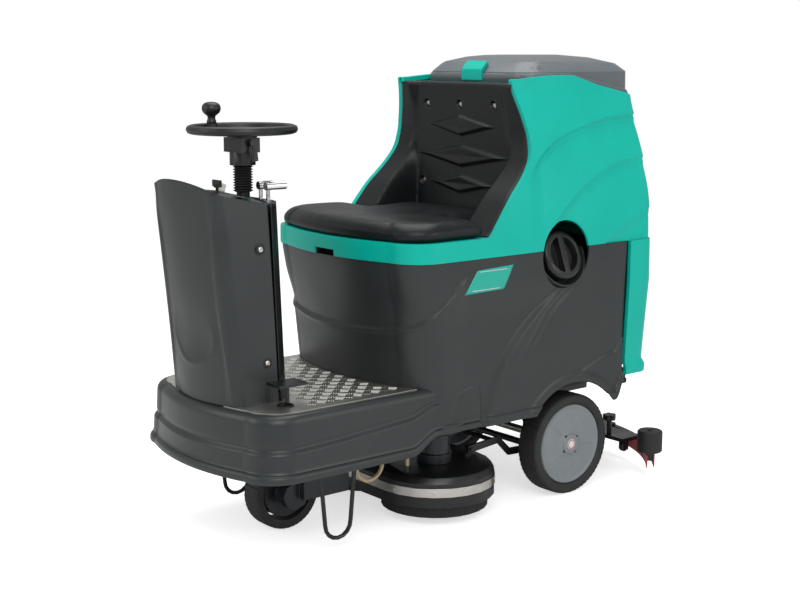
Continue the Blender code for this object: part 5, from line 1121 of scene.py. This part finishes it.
# %% Boot and spinner ball
pleats = np.arange(0, 81)
boot_profile = [(0.0215 + 0.0055 * (0.5 - 0.5 * math.cos(2 * math.pi * step / 8)), 0.9585 + 0.0705 * step / 80)
                for step in pleats]
turning("boot", [*boot_profile, (0.0200, 1.029), (0.0200, 0.9585)], (0, -0.589, 0), (0, 0, 1), black_rubber,
        "chassis", steps=48, ring=True, stands_for=("column_bellows",), crease=60)
ball_low, ball_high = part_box("spinner_knob")
ball_middle = (ball_low + ball_high) / 2
BALL_PROFILE = ((0, 0.0), (0.0120, 0.0), (0.0135, 0.0030), (0.0125, 0.0070), (0.0105, 0.0120), (0.0110, 0.0190),
                (0.0160, 0.0230), (0.0220, 0.0280), (0.0252, 0.0350), (0.0258, 0.0410), (0.0240, 0.0480),
                (0.0190, 0.0535), (0.0110, 0.0568), (0, 0.0578))
turning("spinner_ball", BALL_PROFILE, (ball_middle.x, ball_middle.y, ball_low.z), (0, 0, 1), soft_black,
        body_of["spinner_knob"], steps=48, slot=slot_of["spinner_knob"], stands_for=("spinner_knob",), crease=60)
print("a boot and a ball")

# %% [markdown]
# ## Labels and small hardware
#
# The labels are thin film: each is a small grid laid on its surface, a fraction of a millimetre proud, and bare,
# because a maker's words have no place on a shared part.

# %% Labels
def side_label(name, corners, side, material, lift=0.0006):
    """A film on the pedestal's side: corners are (y, z), and x follows the pedestal's own surface."""
    corners = np.array(corners)
    along, across = np.meshgrid(np.linspace(0, 1, 25), np.linspace(0, 1, 13))
    near = corners[0] * (1 - along[..., None]) + corners[3] * along[..., None]
    far = corners[1] * (1 - along[..., None]) + corners[2] * along[..., None]
    flat = near * (1 - across[..., None]) + far * across[..., None]
    half = through(flat[..., 1], SIDE_Z, SIDE_HALF)
    points = np.stack([half, flat[..., 0], flat[..., 1]], -1)
    points[..., 0] += pedestal_stand(points) + lift
    points[..., 0] *= side
    return piece(name, grid(name, points), material, "chassis", "panel_plastic", wall=0.0004)


# %% Side labels
LABEL = ((-0.094, 0.668), (-0.050, 0.733), (0.085, 0.738), (0.052, 0.671))
LABEL_MIDDLE_Z = 0.7025
LINE_CORNERS = ((-0.055, -0.0008), (-0.054, 0.0008), (0.050, 0.0008), (0.049, -0.0008))
for side, word in ((1, "left"), (-1, "right")):
    side_label(f"label_{word}", LABEL, side, label_film)
    for edge, tag in ((1, "upper"), (-1, "lower")):
        shift, line = 0.012 * edge, LABEL_MIDDLE_Z + 0.026 * edge
        corners = [(y + shift, line + rise) for y, rise in LINE_CORNERS]
        side_label(f"label_line_{tag}_{word}", corners, side, white_plastic, lift=0.0011)


# %% Console labels
def console_label(name, centre, size, material):
    """A film on the console's slope."""
    share = np.linspace(-0.5, 0.5, 5)
    x, y = np.meshgrid(share * size[0] + centre[0], share * size[1] + centre[1])
    z = COWL_TOP - COWL_SLOPE * (y + 0.81) + 0.0008
    return piece(name, grid(name, np.stack([x, y, z], -1)), material, "chassis", "panel_plastic", wall=0.0004)


console_label("brush_label", (0.052, -0.640), (0.026, 0.030), white_plastic)
console_label("squeegee_label", (0.084, -0.640), (0.026, 0.030), label_film)
console_label("screen", (-0.085, -0.680), (0.070, 0.045), screen_glass)

# %% Deck and body screws
BRUSH_X = 0.159
BRUSH_Y = -0.050
BAND_SCREW_Z = 0.105
BAND_SCREW_OUT = 0.1765
for side, word in ((1, "left"), (-1, "right")):
    for turn_degrees in (-60, -20, 20, 60):
        angle = math.radians(turn_degrees - 20 if side > 0 else 180 - turn_degrees + 20)
        out = np.array((math.cos(angle), math.sin(angle), 0.0))
        place = np.array((side * BRUSH_X, BRUSH_Y, BAND_SCREW_Z)) + out * BAND_SCREW_OUT
        socket_screw(f"band_screw_{word}_{turn_degrees + 60}", place, out, 0.009, body_of["deck_band"],
                     cup_washer=False)

# %% [markdown]
# ## The foot plate
#
# The plate is tread aluminium: groups of raised bars stand on it, and each group lies square to the next. All the
# bars are one mesh, which repeats one small bar at every place by adding arrays. A bar is a shallow roof: its
# foot is a rectangle, and its ridge is shorter and narrower.

# %% Foot plate
PLATE_LOW = 0.4123
PLATE_TOP = 0.4150
PLATE_INSET = 0.026
TREAD_BLOCK = 0.030
BAR_LONG = 0.0120
BAR_WIDE = 0.0030
BAR_TALL = 0.0010
BARS = (-0.0095, -0.0032, 0.0032, 0.0095)
PEDAL_SLOT = (-0.627, -0.588)
COLLAR_PROFILE = ((0.017, 0.0), (0.0225, 0.0), (0.0225, 0.0022), (0.020, 0.0035), (0.017, 0.0035))


def plate_rear(x):
    """The plate's rear edge, which stops just short of the pedestal's bowed front."""
    return -0.284 + 0.078 * (x / 0.3235) ** 2


def plate_front(x):
    """The plate's front edge: the platform's outline drawn in by its inset."""
    half = PLATFORM_HALF - PLATE_INSET
    corner = 0.090
    run = half - corner
    bowed = PLATFORM_FRONT + PLATE_INSET + 0.080 * (np.minimum(np.abs(x), run) / PLATFORM_HALF) ** 2
    round_in = corner - np.sqrt(np.maximum(corner ** 2 - np.maximum(np.abs(x) - run, 0) ** 2, 0))
    return bowed + round_in


def foot_plate():
    """The plate as columns of points from front to rear, the last column at each side square."""
    half = PLATFORM_HALF - PLATE_INSET
    x = half * np.sin(np.linspace(-np.pi / 2, np.pi / 2, 121))
    front, rear = plate_front(x), plate_rear(x)
    share = np.linspace(0, 1, 30)[:, None]
    y = front * (1 - share) + rear * share
    return np.stack([x * np.ones_like(y), y, np.full_like(y, PLATE_TOP - 0.0003)], -1)


def tread_bars():
    """Every raised bar, as one mesh: a roof of eight corners at each place, turned by the block that it is in."""
    half = PLATFORM_HALF - PLATE_INSET
    blocks = np.stack(np.meshgrid(np.arange(-10, 11), np.arange(-26, -7)), -1).reshape(-1, 2)
    middle = blocks * TREAD_BLOCK
    inside = (np.abs(middle[:, 0]) < half - 0.018) & (middle[:, 1] > plate_front(middle[:, 0]) + 0.016) \
        & (middle[:, 1] < plate_rear(middle[:, 0]) - 0.016)
    under_cowl = (np.abs(middle[:, 0]) < 0.182) & (middle[:, 1] < -0.590)
    by_pedal = (np.abs(np.abs(middle[:, 0]) - PEDAL_X) < 0.046) & (np.abs(middle[:, 1] - PEDAL_Y) < 0.060)
    keep = inside & ~under_cowl & ~by_pedal
    middle, blocks = middle[keep], blocks[keep]
    foot = np.array([(-1, -1), (1, -1), (1, 1), (-1, 1)]) * (BAR_LONG, BAR_WIDE / 2)
    ridge = foot * (0.86, 0.45)
    bar = np.concatenate([np.c_[foot, np.zeros(4)], np.c_[ridge, np.full(4, BAR_TALL)]])
    bars = bar[None] + np.array([(0.0, offset, 0.0) for offset in BARS])[:, None]
    turned_bars = bars[..., [1, 0, 2]] * (1, -1, 1)
    upright = (blocks.sum(1) % 2 == 0)[:, None, None, None]
    shapes = np.where(upright, bars[None], turned_bars[None])
    spin = np.array([(0.7071, -0.7071), (0.7071, 0.7071)])
    shapes = np.concatenate([shapes[..., :2] @ spin, shapes[..., 2:]], -1)
    shapes = shapes + np.c_[middle, np.full(len(middle), PLATE_TOP - 0.0001)][:, None, None]
    sides = np.array([(0, 1, 5, 4), (1, 2, 6, 5), (2, 3, 7, 6), (3, 0, 4, 7), (4, 5, 6, 7), (3, 2, 1, 0)])
    count = shapes.shape[0] * shapes.shape[1]
    faces = (sides[None] + 8 * np.arange(count)[:, None, None]).reshape(-1, 4)
    mesh = bpy.data.meshes.new("tread_bars")
    mesh.from_pydata(shapes.reshape(-1, 3).tolist(), [], faces.tolist())
    print(count, "tread bars")
    return mesh


# %% Plate, bars and collars
plate = piece("foot_plate", grid("plate", foot_plate()), tread_aluminium, "chassis", "tread_aluminium",
              ("checker_plate",), wall=PLATE_TOP - PLATE_LOW - 0.0003, crease=30)
carve(plate, *pedal_slots(0.0135, *PEDAL_SLOT, 0.405, 0.420))
piece("foot_plate_tread", tread_bars(), tread_aluminium, "chassis", crease=20)
for number, side in enumerate((-1, 1)):
    turning(f"pedal_collar_{number + 1}", COLLAR_PROFILE, (side * PEDAL_X, PEDAL_Y - 0.006, PLATE_TOP - 0.0002),
            (0, 0, 1), black_rubber, "chassis", steps=40, ring=True)

# %% [markdown]
# ## The lid
#
# The lid is a low dome with flat facets, like a cut stone: the facets meet in soft ridges at fixed steps in from
# the edge. Its section is a list of (inset, rise) steps carried round a rounded rectangle, and the whole top tips
# down towards the rear, with the tank's rim.

# %% Lid
LID_ROWS = ((0.000, -0.012), (0.000, 0.012), (0.0015, 0.0165), (0.0045, 0.0190), (0.0110, 0.0205),
            (0.0120, 0.0212), (0.0128, 0.0240), (0.0140, 0.0300), (0.0170, 0.0340), (0.0330, 0.0490),
            (0.0360, 0.0512), (0.0400, 0.0527), (0.0860, 0.0650), (0.0900, 0.0660), (0.0950, 0.0667),
            (0.1350, 0.0712), (0.1800, 0.0719))
LID_EDGE_HALF = 0.238
LID_EDGE_FRONT = 0.226
LID_EDGE_REAR = 0.692


def lid_drop(y):
    """How far the rim and the lid fall towards the rear."""
    return RIM_SLOPE * np.maximum(y - RIM_START, 0)


def lid_top():
    """Rings from the lid's edge inwards, and their last ring drawn together in the middle."""
    inset, rise = np.array(LID_ROWS).T
    corner = np.maximum(0.060 - inset * 0.2, 0.02)
    rings = plan(TANK_TOP + rise, LID_EDGE_HALF - inset, LID_EDGE_FRONT + inset * 0.9, LID_EDGE_REAR - inset, 0.006,
                 corner, 0.070 - inset * 0.15, edge=16, corner=12, side=40)
    rings[..., 2] -= lid_drop(rings[..., 1])
    middle = rings[-1:] * np.array([0.3, 0.3, 1.0]) + np.array([0.0, 0.7 * 0.45, 0.0])
    return np.concatenate([rings, middle, pole(middle)])


lid = piece("lid_shell", grid("lid", lid_top(), wrap_columns=True), lid_plastic, "lid", wall=0.005)
print(f"lid of {len(lid.data.polygons)} faces")

# %% [markdown]
# ## The wheels
#
# A solid rubber tyre on each rear wheel has shallow cross grooves at its shoulders. The disc is a pressed plate:
# a raised bead round its edge, a shallow dish, five short ribs and four bolts round a hub cap.

# %% Wheel shapes
TYRE_PROFILE = ((0.1225, -0.031), (0.1290, -0.0365), (0.1400, -0.0390), (0.1475, -0.0380), (0.1520, -0.0345),
                (0.1538, -0.0300), (0.1543, -0.0240), (0.1543, -0.0235), (0.1545, -0.0120), (0.1545, 0.0120),
                (0.1543, 0.0235), (0.1543, 0.0240), (0.1538, 0.0300), (0.1520, 0.0345), (0.1475, 0.0380),
                (0.1400, 0.0390), (0.1290, 0.0365), (0.1245, 0.0330), (0.1225, 0.0300))
BOLT_PROFILE = ((0, 0.0025), (0.0042, 0.0025), (0.0050, 0.0018), (0.0050, -0.001), (0, -0.001))
TREAD_GROOVES = 60
WHEEL_X = 0.261


def tread(radius, height, angle):
    """The tyre's radius with narrow grooves cut across its shoulders."""
    groove = smooth(np.cos(angle * TREAD_GROOVES), 0.35, 0.75)
    shoulder = smooth(np.abs(height), 0.0225, 0.0245) * (1 - smooth(np.abs(height), 0.0375, 0.0385))
    return radius - 0.0016 * groove * shoulder * (radius > 0.145)


def disc_face(side):
    """The wheel disc's outer face: polar rings whose height is the sum of bead, dish and ribs."""
    radius = np.concatenate([np.linspace(0.0005, 0.118, 46), [0.1195, 0.1208, 0.1213, 0.1215]])[:, None]
    angle = np.linspace(0, 2 * np.pi, 144, endpoint=False)[None, :]
    height = -0.0035 * smooth(radius, 0.030, 0.050) * (1 - smooth(radius, 0.108, 0.116)) + 0 * angle
    ribs = smooth(np.cos(angle * 5 + 0.6), 0.975, 0.995)
    ribs = ribs * smooth(radius, 0.045, 0.052) * (1 - smooth(radius, 0.092, 0.100))
    height = height + 0.0020 * ribs
    height = height - 0.0045 * smooth(radius, 0.1185, 0.1215) ** 2
    x = side * (WHEEL_X + 0.0372 + height - 0.0035)
    return np.stack([x, WHEEL_Y + radius * np.cos(angle) * side, WHEEL_RADIUS + radius * np.sin(angle)], -1)


# %% Rear wheels
for side, word in ((1, "left"), (-1, "right")):
    body = f"rear_wheel_{word}"
    turning(f"tyre_{word}", TYRE_PROFILE, (side * WHEEL_X, WHEEL_Y, WHEEL_RADIUS), (1, 0, 0), tyre_rubber, body,
            steps=480, ring=True, ripple=tread, stands_for=(f"rear_tyre_{word}",), crease=28)
    piece(f"disc_face_{word}", grid("disc_face", disc_face(side), wrap_columns=True), grey_wheel, body, "grey_wheel",
          wall=0.0012, crease=40)
    hub_x = side * (WHEEL_X + 0.0368)
    turning(f"hub_cap_{word}", [(0, 0.0019), (0.0150, 0.0019), (0.0158, 0.0016), (0.0160, 0.0), (0, 0.0)],
            (hub_x, WHEEL_Y, WHEEL_RADIUS), (side, 0, 0), white_plastic, body, slot="grey_wheel", steps=40, crease=30)
    turning(f"hub_ring_{word}", [(0.0115, 0.0018), (0.0115, 0.0022), (0.0142, 0.0022), (0.0142, 0.0018)],
            (hub_x, WHEEL_Y, WHEEL_RADIUS), (side, 0, 0), red_rubber, body, steps=40, ring=True)
    for quarter in range(4):
        angle = math.radians(45 + 90 * quarter - 8)
        place = (side * (WHEEL_X + 0.0330), WHEEL_Y + 0.031 * math.cos(angle), WHEEL_RADIUS + 0.031 * math.sin(angle))
        turning(f"wheel_bolt_{word}_{quarter + 1}", BOLT_PROFILE, place, (side, 0, 0), black_rubber, body, steps=20,
                crease=30)

# %% [markdown]
# ## Inside the tank, and below
#
# With the lid open, the tank shows its bucket, and with the tank tilted, the pan under the seat. The brushes are
# rings of tufts: the ring's radius swings a little with the angle, once for each tuft.

# %% Tank bucket and seat pan
BUCKET_HEIGHTS = (1.238, 1.200, 1.100, 1.000, 0.950, 0.941, 0.9385)
PAN_ROWS = ((0.8135, 0.02, -0.02, 0.02, 0.0, 0.01, 0.004),
            (0.8135, 0.335, -0.316, 0.205, BAND_BOW, 0.098, 0.010),
            (0.8190, 0.3395, -0.3205, 0.2085, BAND_BOW, 0.100, 0.012))
BUCKET_INSET = (0.000, 0.000, 0.002, 0.004, 0.006, 0.010, 0.022)


def bucket():
    """Rings of the bucket from its rim down, drawn in at the floor; the rim follows the tank's own fall."""
    height, inset = np.array(BUCKET_HEIGHTS), np.array(BUCKET_INSET)
    rings = plan(height, 0.229 - inset, 0.2265 + inset, 0.646 - inset, 0.0, 0.045, 0.045, edge=10, corner=10,
                 side=24)
    share = (rings[..., 2] - height[-1]) / (height[0] - height[-1])
    rings[..., 2] -= lid_drop(rings[..., 1]) * share
    return np.concatenate([rings, pole(rings[-1:])])


def seat_pan():
    """A flat pan just under the cushion and the seat's back, inside the band."""
    outline = plan(*np.array(PAN_ROWS).T, edge=16, corner=14, side=20)
    return np.concatenate([pole(outline[:1]), outline])


piece("tank_bucket", grid("bucket", bucket(), wrap_columns=True), teal_polyethylene, "tank", wall=-0.003)
piece("seat_pan", grid("pan", seat_pan(), wrap_columns=True), teal_polyethylene, "tank", wall=0.0015)
print("a bucket and a pan inside the tank")

# %% [markdown]
# The lid turns on a pin behind the tank. Two ears on the tank hold the pin: each is a flat plate whose outline is a
# half circle round the pin, drawn out to a foot on the tank's rear wall.

# %% Lid hinge
LID_HINGE = np.array((0.700, 1.188))
EAR_X = (0.061, 0.075)
EAR_RADIUS = 0.009
PIN_RADIUS = 0.003
PIN_END = EAR_X[1] + 0.002
EAR_FOOT = ((0.655, 1.158), (0.655, 1.184))
half_turn = np.radians(np.linspace(100, -60, 20))
ear_round = LID_HINGE + EAR_RADIUS * np.stack([np.cos(half_turn), np.sin(half_turn)], -1)
ear_outline = np.concatenate([ear_round, np.array(EAR_FOOT)])
for side, word in ((1, "left"), (-1, "right")):
    ear = np.array([[(side * x, y, z) for y, z in ear_outline] for x in EAR_X])
    piece(f"lid_ear_{word}", grid("ear", ear, wrap_columns=True, capped=True), teal_polyethylene, "tank",
          bevel=0.001)
turning("lid_pin", [(0.0, -PIN_END), (PIN_RADIUS, -PIN_END), (PIN_RADIUS, PIN_END), (0.0, PIN_END)],
        (0.0, *LID_HINGE), (1, 0, 0), bright_steel, "tank", steps=20, crease=30)
print("two ears and a pin")

# %% Bristles and the front tyre
TUFTS = 132
BRISTLE_FOOT = 0.0262
FRONT_WHEEL = (0, -0.481, 0.107)


def tufted(radius, height, angle):
    """A ring of tufts: the radius falls between them, and more at the tips."""
    depth = 0.0016 * (height > 0.0005) * (radius > 0.14)
    return radius - depth * (0.5 - 0.5 * np.cos(angle * TUFTS)) ** 2


BRISTLE_PROFILE = ((0.112, 0.0), (0.150, 0.0), (0.1560, 0.0030), (0.1565, 0.0120), (0.1560, 0.0240), (0.1550, 0.0320),
                   (0.112, 0.0320))
FRONT_TYRE_PROFILE = ((0.0800, -0.0320), (0.0930, -0.0350), (0.1010, -0.0345), (0.1050, -0.0300), (0.1065, -0.0240),
                      (0.1070, -0.0120), (0.1070, 0.0120), (0.1065, 0.0240), (0.1050, 0.0300), (0.1010, 0.0345),
                      (0.0930, 0.0350), (0.0800, 0.0320))


def front_tread(radius, height, angle):
    """Cross grooves over the whole width of the driven tyre."""
    groove = smooth(np.cos(angle * 44 + np.abs(height) * 60), 0.45, 0.8)
    return radius - 0.0018 * groove * (radius > 0.1035)


for side, word in ((1, "left"), (-1, "right")):
    turning(f"bristles_{word}", BRISTLE_PROFILE, (side * BRUSH_X, BRUSH_Y, BRISTLE_FOOT), (0, 0, 1), brush_plastic,
            f"brush_{word}", steps=TUFTS * 6, ring=True, ripple=tufted, crease=60)
turning("front_tyre", FRONT_TYRE_PROFILE, FRONT_WHEEL, (1, 0, 0), tyre_rubber, body_of["drive_tyre"],
        steps=352, ring=True, ripple=front_tread, slot=slot_of["drive_tyre"], stands_for=("drive_tyre",), crease=28)
print(TUFTS, "tufts on each brush")

# %% [markdown]
# A squeegee has two blades. The front one, in red rubber, shows below and before the beam. It follows an arc in
# plan, x = r sin(a) and y = centre + r cos(a), with a small rectangle as its section.

# %% Front blade
BEAM_ARC = 0.5556
BLADE_ARC = BEAM_ARC - 0.0262
BLADE_CENTRE_Y = 0.810 - BEAM_ARC
BLADE_REACH = math.radians(48)
BLADE_SECTION = ((0.0, 0.0585), (0.0036, 0.0585), (0.0036, 0.0970), (0.0, 0.0970))
sweep = np.linspace(-BLADE_REACH, BLADE_REACH, 90)[:, None]
across, up = np.array(BLADE_SECTION).T
reach = BLADE_ARC + across[None, :]
level = up[None, :] + 0 * sweep
front_blade = np.stack([reach * np.sin(sweep), BLADE_CENTRE_Y + reach * np.cos(sweep), level], -1)
piece("front_blade", grid("front_blade", front_blade, wrap_columns=True, capped=True), red_rubber,
      body_of["squeegee_blade"], bevel=0.0006)
print(f"blade of {len(sweep)} steps")

# %% [markdown]
# ## Everything else that the frame already has in shape
#
# The nodes that no finer piece stands for keep the frame's shape and get rounded edges.

# %% Rounded copies
USUAL_ROUNDING = 0.001
EDGE_ROUNDING = {
    "chassis_frame": 0.002, "guard_hoop_left": 0.0, "guard_hoop_right": 0.0, "drive_hub": 0.002,
    "steer_fork": 0.0025, "drive_motor": 0.002, "battery_pack": 0.004, "filler_neck": 0.002,
    "ignition_key": 0.0004, "wheel_bracket": 0.002, "drain_outlet": 0.002, "vacuum_motor": 0.002,
    "deck_arms": 0.0015, "deck_actuator": 0.0015, "brush_motor_left": 0.002, "brush_motor_right": 0.002,
    "squeegee_arm": 0.0015, "squeegee_beam": 0.0015, "squeegee_blade": 0.0008, "squeegee_knob_left": 0.0012,
    "squeegee_knob_right": 0.0012, "lid_latch": 0.003,
}
for node in nodes:
    if not nodes[node].hide_render:
        rounded(node, EDGE_ROUNDING.get(node, USUAL_ROUNDING))
